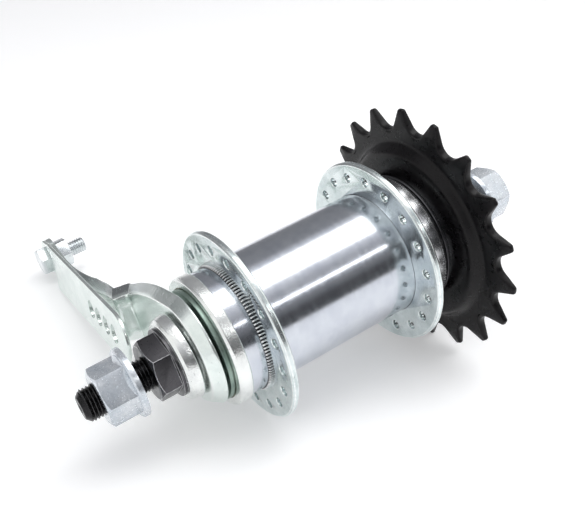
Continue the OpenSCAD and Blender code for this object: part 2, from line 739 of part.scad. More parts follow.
// Outline of the gap between two teeth, drawn about the X axis: a round seat with straight flanks
module tooth_gap() {
    tip_angle = 180 / teeth - asin(tip_half_w / tip_r);
    tip = tip_r * [cos(tip_angle), sin(tip_angle)];
    to_tip = tip - [gap_centre_r, 0];
    touch_angle = atan2(to_tip[1], to_tip[0]) + acos(tooth_gap_r / norm(to_tip));
    touch = [gap_centre_r + tooth_gap_r * cos(touch_angle), tooth_gap_r * sin(touch_angle)];
    far = tip * (tip_r + 2 * cut_past) / tip_r;
    translate([gap_centre_r, 0]) circle(r = tooth_gap_r, $fn = 40);
    polygon([touch, tip, far, [far[0], -far[1]], [tip[0], -tip[1]], [touch[0], -touch[1]]]);
}

// Sprocket: a dished steel plate with teeth that are thinner at their tips
module sprocket() {
    half = sprocket_t / 2;
    bevel = 0.55;
    bevel_w = 1.5;
    dish_ease = 0.8;
    key_out = 4;
    key_w = driver_slot_w - 2 * turning_fit;
    color([0.09, 0.09, 0.1]) difference() {
        union() {
            turned([[seat_r + turning_fit, web_y], [dish_in_r, web_y], [dish_out_r, tooth_y - half],
                [pitch_r - bevel_w, tooth_y - half], [tip_r, tooth_y - half + bevel],
                [tip_r, tooth_y + half - bevel], [pitch_r - bevel_w, tooth_y + half],
                [dish_out_r - dish_ease, tooth_y + half], [dish_in_r - dish_ease, web_end_y],
                [seat_r + turning_fit, web_end_y]]);
            for (i = [0 : slot_count - 1]) {
                rotate([0, -slot_first - i * 360 / slot_count, 0])
                    translate([seat_r - driver_slot_d + turning_fit, web_y, -key_w / 2])
                    cube([key_out, sprocket_t, key_w]);
            }
        }
        for (i = [0 : teeth - 1]) {
            rotate([0, -tooth_phase - (i + 0.5) * 360 / teeth, 0])
                translate([0, tooth_y - sprocket_t, 0]) rotate([-90, 0, 0])
                linear_extrude(2 * sprocket_t) tooth_gap();
        }
    }
}

// Open ring that keeps the sprocket on the driver
module snap_ring() {
    gap_w = 9;
    color([0.3, 0.3, 0.32]) difference() {
        tube(snap_ring_d / 2, snap_groove_r + turning_fit, snap_y, snap_y + snap_ring_t);
        translate([-gap_w / 2, snap_y - cut_past, 0])
            cube([gap_w, snap_ring_t + 2 * cut_past, snap_ring_d]);
    }
}

// Dust cap on the driver, it covers the mouth of the drive side cup
module driver_dust_cap() {
    color([0.25, 0.25, 0.27])
        tube(seat_r + driver_cap_w, seat_r + fixed_fit, shoulder_y - dust_cap_t, shoulder_y);
}

module balls_brake() {
    color([0.8, 0.8, 0.82]) ball_ring(brake_ball_circle_r, shell_ball_r, brake_ball_y, brake_balls);
}

module cage_brake() {
    color([0.6, 0.55, 0.4])
        cage(brake_ball_circle_r, shell_ball_r, brake_ball_y, brake_balls, -1,
            brake_bore_r - turning_fit, shell_ball_r + cage_past);
}

module balls_shell() {
    color([0.8, 0.8, 0.82]) ball_ring(drive_ball_circle_r, shell_ball_r, drive_ball_y, drive_balls);
}

module cage_shell() {
    color([0.6, 0.55, 0.4])
        cage(drive_ball_circle_r, shell_ball_r, drive_ball_y, drive_balls, 1,
            drive_bore_r - turning_fit, shell_ball_r + cage_past);
}

module balls_cone() {
    color([0.8, 0.8, 0.82]) ball_ring(cone_ball_circle_r, cone_ball_r, cone_ball_y, cone_balls);
}

module cage_cone() {
    color([0.6, 0.55, 0.4])
        cage(cone_ball_circle_r, cone_ball_r, cone_ball_y, cone_balls, 1,
            driver_cup_r - turning_fit, cone_ball_r + cage_past / 2);
}

// Clutch cone: it screws on the driver, forwards into the shell and backwards into the shoes
module clutch_cone() {
    disc_r = bore_r - pass_gap * clutch_tan - taper_gap;
    end_r = bore_r - (clutch_end_y - bore_taper_y) * clutch_tan - taper_gap;
    color([0.6, 0.58, 0.5]) difference() {
        turned([[0, clutch_tip_y], [clutch_tip_r, clutch_tip_y], [brake_cone_r, clutch_left_y],
            [brake_cone_r, clutch_left_y + spring_seat_w], [clutch_rim_r, clutch_left_y + spring_seat_w],
            [clutch_rim_r, clutch_disc_y], [disc_r, clutch_disc_y],
            [end_r, clutch_end_y], [0, clutch_end_y]]);
        along_axle(clutch_tip_y - cut_past)
            cylinder(r = driver_bore_r, h = clutch_end_y - clutch_tip_y + 2 * cut_past);
        along_axle(clutch_left_y)
            cylinder(r = screw_r + pass_gap, h = clutch_end_y - clutch_left_y + cut_past);
    }
}

// Open spring ring that grips the clutch, with a tab between the shoes that keeps it from turning
module clutch_spring() {
    inner = brake_cone_r + turning_fit;
    ring_inset = 0.6;
    ring_y = clutch_left_y + ring_inset;
    ring_w = 1.4;
    wire = 1.3;
    tab_t = 0.85;
    open_w = 6;
    tab_w = 2.4;
    tab_l = 5;
    color([0.45, 0.46, 0.48]) difference() {
        union() {
            tube(inner + wire, inner, ring_y, ring_y + ring_w);
            translate([-tab_w / 2, ring_y - tab_l, inner + wire - tab_t - fixed_fit])
                cube([tab_w, tab_l + ring_w / 2, tab_t]);
        }
        translate([-open_w / 2, ring_y - cut_past, -shell_r])
            cube([open_w, ring_w + 2 * cut_past, shell_r]);
    }
}

// One of the two brake shoes, a half tube with a wedge at each end
module brake_shoe(side) {
    edge = 0.4;
    difference() {
        turned([[shoe_mouth_r, shoe_start_y], [shoe_r - edge, shoe_start_y], [shoe_r, shoe_start_y + edge],
            [shoe_r, shoe_end_y - edge], [shoe_r - edge, shoe_end_y], [shoe_mouth_r, shoe_end_y],
            [shoe_bore_r, shoe_end_y - shoe_taper_l], [shoe_bore_r, shoe_start_y + shoe_taper_l]]);
        translate([side > 0 ? -shell_r : -shoe_gap / 2, shoe_start_y - cut_past, -shell_r])
            cube([shell_r + shoe_gap / 2, shoe_end_y - shoe_start_y + 2 * cut_past, 2 * shell_r]);
    }
}

module brake_shoe_front() {
    color([0.5, 0.45, 0.35]) brake_shoe(-1);
}

module brake_shoe_rear() {
    color([0.5, 0.45, 0.35]) brake_shoe(1);
}

// Places a piece along the strap: x runs from the clip bolt to the free end
module along_strap() {
    translate([-arm_length, clip_y - strap_t, 0]) rotate([0, strap_slope, 0]) children();
}

// Places a piece on the strap's leaning and rolled blade
module on_blade() {
    along_strap() translate([strap_neck, -strap_step, 0])
        rotate([0, 0, -strap_lean]) rotate([-strap_roll, 0, 0])
        translate([-strap_neck, 0, 0]) children();
}

// Outline of the strap's flat eye: round about the bolt and widening towards the joggle
module strap_eye(end_x, end_z) {
    circle(r = arm_eye_r);
    polygon([[0, -arm_eye_r + fixed_fit], [end_x, -end_z], [end_x, end_z], [0, arm_eye_r - fixed_fit]]);
}

// Clip strap: a flat strip with an eye for the bolt and a row of adjusting holes
module clip_strap() {
    round_r = strap_w / 2;
    skin = 0.05;
    slice_l = 0.5;
    joggle_x = hex_r(clip_bolt_af) + pass_gap;
    joggle_z = (arm_eye_r + strap_w / 2) / 2;
    slice_h = strap_t - 2 * skin;
    color([0.74, 0.8, 0.77]) difference() {
        union() {
            along_strap() along_axle() linear_extrude(strap_t) strap_eye(joggle_x + 2 * slice_l, joggle_z);
            hull() {
                along_strap() translate([joggle_x, skin, -joggle_z + 2 * skin])
                    cube([slice_l, slice_h, 2 * joggle_z - 4 * skin]);
                on_blade() translate([strap_neck + slice_l, skin, -strap_w / 2 + skin])
                    cube([slice_l, slice_h, strap_w - 2 * skin]);
            }
            on_blade() translate([strap_neck, 0, -strap_w / 2])
                cube([strap_reach - strap_neck - round_r, strap_t, strap_w]);
            on_blade() translate([strap_reach - round_r, 0, 0])
                along_axle() cylinder(r = round_r, h = strap_t);
        }
        along_strap() along_axle(-cut_past) cylinder(r = clip_hole_r, h = strap_t + 2 * cut_past);
        for (i = [0 : strap_holes - 1]) {
            on_blade() translate([strap_reach - strap_hole_end - i * strap_hole_pitch, -cut_past, 0])
                along_axle() cylinder(d = strap_hole_d, h = strap_t + 2 * cut_past);
        }
    }
}

// Bolt of the clip, with its head outside the strap
module clip_bolt() {
    inner = clip_bolt_af / 2 - hex_inset / 2;
    corner = hex_r(clip_bolt_af) + cut_past;
    end_chamfer = 0.6;
    root = 1;
    bolt_r = clip_bolt_d / 2;
    top_y = clip_head_y - clip_head_h;
    color([0.82, 0.84, 0.85]) translate([-arm_length, 0, 0]) union() {
        intersection() {
            hex_prism(clip_bolt_af, top_y, clip_head_y, clip_head_turn);
            turned([[0, top_y], [inner, top_y], [corner, top_y + (corner - inner) * tan(chamfer_tilt)],
                [corner, clip_head_y], [0, clip_head_y]]);
        }
        turned([[0, clip_head_y - root], [bolt_r, clip_head_y - root],
            [bolt_r, clip_head_y + clip_bolt_l - end_chamfer],
            [bolt_r - end_chamfer, clip_head_y + clip_bolt_l], [0, clip_head_y + clip_bolt_l]]);
    }
}

// Nut of the clip, on the arm's inner side
module clip_nut() {
    inner = clip_bolt_af / 2 - hex_inset / 2;
    corner = hex_r(clip_bolt_af) + cut_past;
    nut_y = arm_mid_y + arm_t;
    end_y = nut_y + clip_nut_h;
    color([0.8, 0.82, 0.83]) translate([-arm_length, 0, 0]) difference() {
        intersection() {
            hex_prism(clip_bolt_af, nut_y, end_y, clip_nut_turn);
            turned([[0, nut_y], [corner, nut_y], [corner, end_y - (corner - inner) * tan(chamfer_tilt)],
                [inner, end_y], [0, end_y]]);
        }
        along_axle(nut_y - cut_past)
            cylinder(r = clip_bolt_d / 2 + fixed_fit, h = clip_nut_h + 2 * cut_past);
    }
}

axle();
axle_nut_brake();
axle_nut_drive();
lock_nut_brake();
lock_nut_drive();
domed_washer();
brake_arm();
brake_cone();
brake_dust_cap();
drive_cone();
cone_dust_cap();
hub_shell();
flange_brake();
flange_drive();
cup_brake();
cup_drive();
driver();
sprocket();
snap_ring();
driver_dust_cap();
balls_brake();
cage_brake();
balls_shell();
cage_shell();
balls_cone();
cage_cone();
clutch_cone();
clutch_spring();
brake_shoe_front();
brake_shoe_rear();
clip_strap();
clip_bolt();
clip_nut();
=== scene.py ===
"""Studio scene of a bicycle coaster brake hub.

Sizes are in millimetres in the row's own frame: +Y along the axle to the sprocket, +Z up, the brake
arm along -X. Every piece is built at its place, so its object stays at the origin.
"""
import bmesh
import bpy
import json
import math
from mathutils import Matrix, Vector
from mathutils.geometry import delaunay_2d_cdt
from mathutils.kdtree import KDTree

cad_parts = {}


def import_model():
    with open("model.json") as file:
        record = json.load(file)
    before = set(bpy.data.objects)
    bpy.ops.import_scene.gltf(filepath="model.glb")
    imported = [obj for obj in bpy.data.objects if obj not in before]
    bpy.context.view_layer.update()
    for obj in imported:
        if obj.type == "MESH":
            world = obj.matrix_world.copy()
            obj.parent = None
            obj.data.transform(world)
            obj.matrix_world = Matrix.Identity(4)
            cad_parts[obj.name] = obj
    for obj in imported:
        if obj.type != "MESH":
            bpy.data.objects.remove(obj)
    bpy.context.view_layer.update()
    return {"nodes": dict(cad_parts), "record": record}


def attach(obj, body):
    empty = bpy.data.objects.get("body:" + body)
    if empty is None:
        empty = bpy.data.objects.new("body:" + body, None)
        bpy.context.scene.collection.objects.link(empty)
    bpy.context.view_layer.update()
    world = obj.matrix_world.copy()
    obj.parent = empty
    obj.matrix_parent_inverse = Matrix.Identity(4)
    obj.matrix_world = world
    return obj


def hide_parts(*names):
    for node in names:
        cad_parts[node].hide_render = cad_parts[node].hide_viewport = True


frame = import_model()
MM = 0.001
TAU = 2 * math.pi

# ---------------------------------------------------------------- materials


class Graph:
    """A material's node tree, with short calls to add and join nodes."""

    def __init__(self, name):
        self.material = bpy.data.materials.new(name)
        self.material.use_nodes = True
        self.tree = self.material.node_tree
        self.nodes = self.tree.nodes
        self.bsdf = self.nodes["Principled BSDF"]
        self.place = self.add("ShaderNodeTexCoord").outputs["Object"]

    def add(self, kind, **values):
        node = self.nodes.new(kind)
        for key, value in values.items():
            setattr(node, key, value)
        return node

    def join(self, source, target):
        self.tree.links.new(source, target)

    def math(self, operation, a, b=None):
        node = self.add("ShaderNodeMath", operation=operation)
        for socket, value in zip(node.inputs, (a, b)):
            if value is None:
                continue
            if isinstance(value, (int, float)):
                socket.default_value = value
            else:
                self.join(value, socket)
        return node.outputs[0]

    def noise(self, vector, scale, detail=3.0, roughness=0.55):
        node = self.add("ShaderNodeTexNoise")
        node.inputs["Scale"].default_value = scale
        node.inputs["Detail"].default_value = detail
        node.inputs["Roughness"].default_value = roughness
        self.join(vector, node.inputs["Vector"])
        return node.outputs["Fac"]

    def cells(self, vector, scale):
        node = self.add("ShaderNodeTexVoronoi")
        node.inputs["Scale"].default_value = scale
        self.join(vector, node.inputs["Vector"])
        return node.outputs["Color"]

    def spread(self, value, low, high, out_low, out_high):
        node = self.add("ShaderNodeMapRange")
        self.join(value, node.inputs["Value"])
        for key, number in (("From Min", low), ("From Max", high), ("To Min", out_low), ("To Max", out_high)):
            node.inputs[key].default_value = number
        return node.outputs["Result"]

    def blend(self, value, a, b, kind="MIX"):
        node = self.add("ShaderNodeMix", data_type="RGBA", blend_type=kind)
        for socket, item in ((node.inputs["Factor"], value), (node.inputs["A"], a), (node.inputs["B"], b)):
            if isinstance(item, (int, float)):
                socket.default_value = item
            elif isinstance(item, tuple):
                socket.default_value = (*item, 1.0)
            else:
                self.join(item, socket)
        return node.outputs["Result"]

    def bump(self, height, strength, depth):
        node = self.add("ShaderNodeBump")
        node.inputs["Strength"].default_value = strength
        node.inputs["Distance"].default_value = depth * MM
        self.join(height, node.inputs["Height"])
        return node.outputs["Normal"]

    def turned_place(self):
        """Coordinates that change with the radius and the place along the axle, so marks run round it."""
        split = self.add("ShaderNodeSeparateXYZ")
        self.join(self.place, split.inputs[0])
        x, y, z = split.outputs
        radius = self.math("SQRT", self.math("ADD", self.math("MULTIPLY", x, x), self.math("MULTIPLY", z, z)))
        turn = self.math("MULTIPLY", self.math("ARCTAN2", z, x), 0.0004)
        joined = self.add("ShaderNodeCombineXYZ")
        self.join(radius, joined.inputs[0])
        self.join(y, joined.inputs[1])
        self.join(turn, joined.inputs[2])
        return joined.outputs[0]


def metal(name, light, dark, rough, turned=0.0, grain=2600, pits=0.0, spangle=0.0, bump=0.05, wear_and_highlight=0.0,
          white=0.0, rub_and_highlight_tone=(0.5, 0.5, 0.5), painted_groove_shade=False, painted_edge_shade=None):
    """Plated or bare metal: patchy tone and fine grain, with optional turning marks, pits, crystal spangle,
    paler edges and near-black knurl valleys.

    white is the share of plain scatter that a zinc layer adds. The paler edges are worn metal, and on the brake
    arm's fold line a painted highlight. The near-black knurl valleys are painted shade, and so is the darker tone
    on the arm's turned edge.
    """
    g = Graph(name)
    tone = g.noise(g.place, 190, 4)
    fine = g.noise(g.place, grain, 3, 0.6)
    colour = g.blend(g.spread(tone, 0.35, 0.65, 0.0, 1.0), dark, light)
    height = fine
    gloss = g.spread(fine, 0.3, 0.7, rough[0], rough[1])
    if turned:
        marks = g.noise(g.turned_place(), 5200, 2, 0.7)
        broad = g.noise(g.turned_place(), 700, 2, 0.6)
        height = g.math("ADD", g.math("MULTIPLY", marks, turned), g.math("MULTIPLY", fine, 0.3))
        gloss = g.math("ADD", gloss, g.spread(broad, 0.3, 0.7, -0.03, 0.05))
        colour = g.blend(g.spread(marks, 0.45, 0.75, 0.0, 0.35 * turned), colour, dark)
    if spangle:
        crystal = g.cells(g.place, 2300)
        split = g.add("ShaderNodeSeparateColor")
        g.join(crystal, split.inputs[0])
        shade = g.spread(split.outputs[0], 0.0, 1.0, 0.0, spangle)
        colour = g.blend(shade, colour, tuple(0.42 * c for c in dark))
        gloss = g.math("ADD", gloss, g.spread(split.outputs[1], 0.0, 1.0, -0.05, 0.16 * spangle))
        height = g.math("ADD", height, g.math("MULTIPLY", split.outputs[2], spangle))
    if pits:
        spots = g.noise(g.place, 1500, 2, 0.5)
        spot = g.spread(spots, 0.66, 0.72, 0.0, pits)
        colour = g.blend(spot, colour, tuple(0.3 * c for c in dark))
        gloss = g.math("ADD", gloss, g.math("MULTIPLY", spot, 0.25))
    # The pale edge tint is worn metal on most pieces, and a painted highlight on the brake arm's fold line.
    if wear_and_highlight:
        edge = g.add("ShaderNodeAttribute", attribute_name="wear_and_highlight").outputs["Fac"]
        wear_and_highlight_mask = g.math("MULTIPLY", edge, g.spread(g.noise(g.place, 900, 3), 0.35, 0.6, 0.3, 1.0))
        colour = g.blend(g.math("MULTIPLY", wear_and_highlight_mask, wear_and_highlight), colour, rub_and_highlight_tone)
    # Painted shade: the "deep" attribute darkens the brake arm's turned edge towards this tone, standing in for a
    # dim reflection.
    if painted_edge_shade:
        deep = g.add("ShaderNodeAttribute", attribute_name="deep").outputs["Fac"]
        colour = g.blend(deep, colour, painted_edge_shade)
    # Painted shade: the knurl valleys are darkened almost to black.
    if painted_groove_shade:
        deep = g.add("ShaderNodeAttribute", attribute_name="deep").outputs["Fac"]
        colour = g.blend(g.spread(deep, 0.08, 0.55, 0.0, 0.97), colour, (0.012, 0.013, 0.014))
        gloss = g.math("ADD", gloss, g.math("MULTIPLY", deep, 0.3))
    g.join(colour, g.bsdf.inputs["Base Color"])
    g.join(gloss, g.bsdf.inputs["Roughness"])
    g.join(g.bump(height, 0.5, bump), g.bsdf.inputs["Normal"])
    g.bsdf.inputs["Metallic"].default_value = 1.0 - white
    return g.material


def painted(name, colour, lighter, rough, bump=0.03):
    """Satin black finish with a faint mottle and paler worn edges."""
    g = Graph(name)
    mottle = g.noise(g.place, 420, 5, 0.6)
    fine = g.noise(g.place, 3200, 3, 0.6)
    tint = g.blend(g.spread(mottle, 0.35, 0.7, 0.0, 1.0), colour, lighter)
    edge = g.add("ShaderNodeAttribute", attribute_name="wear_and_highlight").outputs["Fac"]
    wear_and_highlight_mask = g.math("MULTIPLY", edge, g.spread(fine, 0.4, 0.6, 0.1, 0.5))
    g.join(g.blend(wear_and_highlight_mask, tint, tuple(4 * c for c in lighter)), g.bsdf.inputs["Base Color"])
    g.join(g.spread(mottle, 0.3, 0.7, rough[0], rough[1]), g.bsdf.inputs["Roughness"])
    g.join(g.bump(fine, 0.4, bump), g.bsdf.inputs["Normal"])
    g.bsdf.inputs["Specular IOR Level"].default_value = 0.2
    return g.material


MAT = {
    "bright_zinc": metal("bright_zinc", (0.80, 0.83, 0.84), (0.58, 0.62, 0.64), (0.14, 0.26), pits=0.6,
                         bump=0.05, wear_and_highlight=0.8, white=0.15, rub_and_highlight_tone=(0.95, 0.97, 0.97)),
    "nut_zinc": metal("nut_zinc", (0.88, 0.92, 0.96), (0.66, 0.72, 0.78), (0.16, 0.26), spangle=0.3, pits=0.5,
                      bump=0.04, wear_and_highlight=0.9, white=0.35, rub_and_highlight_tone=(0.95, 0.97, 0.98)),
    # On the brake arm this finish carries a painted highlight, the pale tint on the fold line, and painted shade,
    # the darker tone on the outer side of the turned edge.
    "satin_zinc": metal("satin_zinc", (0.84, 0.9, 0.87), (0.74, 0.81, 0.78), (0.2, 0.26), grain=1500, pits=0.12,
                        bump=0.008, wear_and_highlight=0.8, white=0.08, rub_and_highlight_tone=(0.97, 0.98, 0.97),
                        painted_edge_shade=(0.36, 0.39, 0.39)),
    "flange_zinc": metal("flange_zinc", (0.76, 0.82, 0.82), (0.56, 0.63, 0.63), (0.14, 0.26), turned=0.3,
                         pits=0.25, bump=0.05, wear_and_highlight=0.7, rub_and_highlight_tone=(0.95, 0.97, 0.96)),
    "rim_zinc": metal("rim_zinc", (0.93, 0.95, 0.93), (0.78, 0.80, 0.79), (0.1, 0.2), pits=0.55, bump=0.11,
                      white=0.12),
    "polished_shell": metal("polished_shell", (0.63, 0.66, 0.71), (0.56, 0.59, 0.65), (0.12, 0.19), turned=0.4,
                            bump=0.006),
    # knurl_steel darkens the knurl valleys almost to black: painted shade.
    "knurl_steel": metal("knurl_steel", (0.90, 0.91, 0.91), (0.74, 0.76, 0.77), (0.12, 0.22), bump=0.03,
                         painted_groove_shade=True),
    "collar_steel": metal("collar_steel", (0.78, 0.79, 0.8), (0.6, 0.61, 0.63), (0.16, 0.26), turned=1.0,
                          bump=0.02),
    # The dust cap's dark green tone is painted shade for the shadowed gap between the brake arm and the collar.
    "cap_painted_shade": metal("cap_painted_shade", (0.34, 0.43, 0.38), (0.2, 0.27, 0.235), (0.3, 0.42), turned=0.3, bump=0.03),
    "black_steel": metal("black_steel", (0.035, 0.034, 0.036), (0.018, 0.018, 0.019), (0.2, 0.32), bump=0.04,
                         wear_and_highlight=0.3, rub_and_highlight_tone=(0.2, 0.2, 0.2)),
    "black_nut": metal("black_nut", (0.104, 0.102, 0.108), (0.082, 0.08, 0.086), (0.26, 0.34), grain=1500,
                       bump=0.03, wear_and_highlight=1.0, rub_and_highlight_tone=(0.8, 0.8, 0.82)),
    "black_paint": painted("black_paint", (0.003, 0.0025, 0.003), (0.007, 0.006, 0.007), (0.24, 0.34)),
    "hard_steel": metal("hard_steel", (0.56, 0.57, 0.6), (0.4, 0.41, 0.44), (0.16, 0.28), turned=0.7,
                        bump=0.02),
    "ball_steel": metal("ball_steel", (0.86, 0.87, 0.89), (0.8, 0.81, 0.83), (0.04, 0.08), bump=0.004),
    "cage_steel": metal("cage_steel", (0.6, 0.55, 0.42), (0.44, 0.4, 0.3), (0.25, 0.4), pits=0.3),
    "bronze": metal("bronze", (0.62, 0.46, 0.25), (0.45, 0.31, 0.16), (0.22, 0.36), turned=0.8, pits=0.3),
    "dark_cap": metal("dark_cap", (0.14, 0.14, 0.15), (0.08, 0.08, 0.085), (0.3, 0.45), turned=0.5, bump=0.03),
}

# ---------------------------------------------------------------- mesh helpers


def piece(name, verts, faces, material, body, nodes=(), sharp=32, wear_and_highlight=None):
    """An object from points in millimetres: closed, outward normals, smooth apart from its sharp edges."""
    mesh = bpy.data.meshes.new(name)
    mesh.from_pydata([(v[0] * MM, v[1] * MM, v[2] * MM) for v in verts], [], faces)
    return finish_piece(name, mesh, material, body, nodes, sharp, wear_and_highlight)


def finish_piece(name, mesh, material, body, nodes=(), sharp=32, wear_and_highlight=None):
    """The object for a mesh: welded and shaded, with its look and body, in place of the nodes given."""
    work = bmesh.new()
    work.from_mesh(mesh)
    bmesh.ops.remove_doubles(work, verts=work.verts, dist=2e-7)
    bmesh.ops.recalc_face_normals(work, faces=work.faces)
    work.to_mesh(mesh)
    work.free()
    mesh.materials.clear()
    mesh.materials.append(MAT[material])
    mesh.shade_smooth()
    mesh.set_sharp_from_angle(angle=math.radians(sharp))
    if wear_and_highlight:
        layer = mesh.attributes.new("wear_and_highlight", "FLOAT", "POINT")
        for i, vert in enumerate(mesh.vertices):
            layer.data[i].value = wear_and_highlight(vert.co / MM)
    made = bpy.data.objects.new(name, mesh)
    bpy.context.scene.collection.objects.link(made)
    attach(made, body)
    if nodes:
        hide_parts(*nodes)
    return made


def rounded(points, steps=4):
    """A closed outline with its corners rounded: each point is (a, b) or (a, b, radius)."""
    out = []
    count = len(points)
    for i, point in enumerate(points):
        here = Vector(point[:2])
        radius = point[2] if len(point) > 2 else 0.0
        before = Vector(points[i - 1][:2]) - here
        after = Vector(points[(i + 1) % count][:2]) - here
        if radius <= 0 or before.length < 1e-6 or after.length < 1e-6:
            out.append(tuple(here))
            continue
        reach_a, reach_b = before.length, after.length
        before.normalize()
        after.normalize()
        half = math.acos(max(-1.0, min(1.0, before.dot(after)))) / 2
        if half > 1.55 or half < 0.02:
            out.append(tuple(here))
            continue
        step = min(radius / math.tan(half), 0.48 * reach_a, 0.48 * reach_b)
        radius = step * math.tan(half)
        centre = here + (before + after).normalized() * radius / math.sin(half)
        start = here + before * step - centre
        end = here + after * step - centre
        first = math.atan2(start.y, start.x)
        sweep = (math.atan2(end.y, end.x) - first + math.pi) % TAU - math.pi
        for k in range(steps + 1):
            angle = first + sweep * k / steps
            out.append((centre.x + radius * math.cos(angle), centre.y + radius * math.sin(angle)))
    return out


def lathe(outline, seg=192, shape=None):
    """A closed outline of (radius, y) turned about the axle. shape(radius, y, angle) may change a radius."""
    verts, faces = [], []
    count = len(outline)
    for i in range(seg):
        angle = TAU * i / seg
        for r, y in outline:
            radius = shape(r, y, angle) if shape else r
            verts.append((radius * math.cos(angle), y, radius * math.sin(angle)))
    for i in range(seg):
        a, b = i * count, (i + 1) % seg * count
        for k in range(count):
            n = (k + 1) % count
            faces.append((a + k, a + n, b + n, b + k))
    return verts, faces


def dressed(node, material, width=0.2, segments=2, limit=28, drop=None):
    """A softened copy of a CAD node: its sharp edges are rounded and the node is hidden behind it. Faces whose
    middle meets drop are left out and the rim is closed, so that a finer piece can take their place."""
    mesh = frame["nodes"][node].data.copy()
    work = bmesh.new()
    work.from_mesh(mesh)
    bmesh.ops.remove_doubles(work, verts=work.verts, dist=1e-6)
    bmesh.ops.dissolve_limit(work, angle_limit=math.radians(0.4), verts=work.verts, edges=work.edges)
    if drop:
        gone = [f for f in work.faces if drop(f.calc_center_median() / MM)]
        bmesh.ops.delete(work, geom=gone, context="FACES")
        bmesh.ops.holes_fill(work, edges=[e for e in work.edges if e.is_boundary], sides=0)
    layer = work.faces.layers.float.new("wear_and_highlight")
    if width:
        edges = [e for e in work.edges if len(e.link_faces) == 2 and e.calc_face_angle(0) > math.radians(limit)]
        made = bmesh.ops.bevel(work, geom=edges, offset=width * MM, segments=segments, affect="EDGES",
                               clamp_overlap=True, profile=0.5)
        for face in made["faces"]:
            face[layer] = 1.0
    work.to_mesh(mesh)
    work.free()
    return finish_piece(node + "_soft", mesh, material, SLOT_BODY[node], [node], 40)


SLOT_BODY = {node: body for body, members in frame["record"]["behaviour"]["bodies"].items() for node in members}

# ---------------------------------------------------------------- sizes shared with the solids

AXLE_R = 4.75
ARM_FACE_Y = -43.35
ARM_T = 2.0
ARM_MID_Y = -47.95
EYE_X = -115.0

# ---------------------------------------------------------------- axle and its thread


def thread(radius, depth, pitch, start, end, blank=(), tip=0.8, seg=72, centre_drill=True):
    """A threaded rod along Y with coned tips: a groove winds round it and fades out into the blank stretch."""
    crest, flank, fade = 0.12, 1.3, 1.5
    verts, faces, rows = [], [], []
    y = start
    while y < end:
        rows.append(y)
        y += pitch / 9 if not (blank and blank[0] < y < blank[1]) else 2.0
    rows.append(end)
    for y in rows:
        for i in range(seg):
            angle = TAU * i / seg
            wave = abs(((y / pitch - i / seg) % 1.0) * 2 - 1)
            cut = depth * max(0.0, min(1.0, (wave - crest) * flank))
            if blank:
                cut *= max(0.0, min(1.0, max(blank[0] - y, y - blank[1]) / fade))
            limit = radius - max(0.0, tip - (y - start)) - max(0.0, tip - (end - y))
            r = min(radius - cut, limit)
            verts.append((r * math.cos(angle), y, r * math.sin(angle)))
    for k in range(len(rows) - 1):
        for i in range(seg):
            n = (i + 1) % seg
            faces.append((k * seg + i, k * seg + n, (k + 1) * seg + n, (k + 1) * seg + i))
    for end_row, y, inward in ((0, start, 1), (len(rows) - 1, end, -1)):
        ring = end_row * seg
        last = ring
        for r, deep in (((1.5, 0.0), (0.02, 1.2)) if centre_drill else ((0.02, 0.0),)):
            first = len(verts)
            for i in range(seg):
                angle = TAU * i / seg
                verts.append((r * math.cos(angle), y + inward * deep, r * math.sin(angle)))
            for i in range(seg):
                n = (i + 1) % seg
                faces.append((last + i, last + n, first + n, first + i))
            last = first
        faces.append(tuple(last + i for i in range(seg)))
    return verts, faces


verts, faces = thread(AXLE_R, 0.5, 1.0, -74.9, 73.1, blank=(-46.0, 47.0), tip=1.5)
piece("axle_thread", verts, faces, "black_steel", "axle_set", ["axle"], sharp=55,
      wear_and_highlight=lambda p: max(0.0, min(1.0, (math.hypot(p.x, p.z) - 4.6) * 7)))

# ---------------------------------------------------------------- nuts and washer

for node, material, width in (("axle_nut_brake", "nut_zinc", 0.28), ("axle_nut_drive", "nut_zinc", 0.28),
                              ("lock_nut_drive", "nut_zinc", 0.25), ("clip_nut", "bright_zinc", 0.2)):
    dressed(node, material, width)
dressed("lock_nut_brake", "black_nut", 0.16)

front = ARM_FACE_Y - 4.75
verts, faces = lathe(rounded([
    (4.8, front), (11.3, front + 0.02, 0.35), (12.1, front + 0.75, 0.6),
    (12.5, front + 2.2, 1.2), (12.75, ARM_FACE_Y - 0.85, 0.3), (11.55, ARM_FACE_Y - 0.85, 0.2),
    (10.95, front + 1.8, 0.4), (9.5, front + 1.4, 0.2), (9.5, ARM_FACE_Y, 0.2), (4.8, ARM_FACE_Y)], 4))
piece("washer_dome", verts, faces, "rim_zinc", "axle_set", ["domed_washer"])

# ---------------------------------------------------------------- shell, knurl, flanges and cups

verts, faces = lathe(rounded([
    (17.4, -33.3), (18.9, -33.3, 0.2), (18.9, -27.05), (19.2, -27.0),
    (19.2, 22.7), (17.2, 22.7), (17.2, 22.0), (17.0, 21.5), (17.0, -28.0), (17.4, -28.5)], 3), 240)
piece("shell_barrel", verts, faces, "polished_shell", "shell", ["hub_shell"])


KNURLS = 120
KNURL_VALLEY_R, KNURL_HEIGHT, KNURL_INNER_R = 18.86, 0.74, 18.3
KNURL_SHARPNESS = 0.6


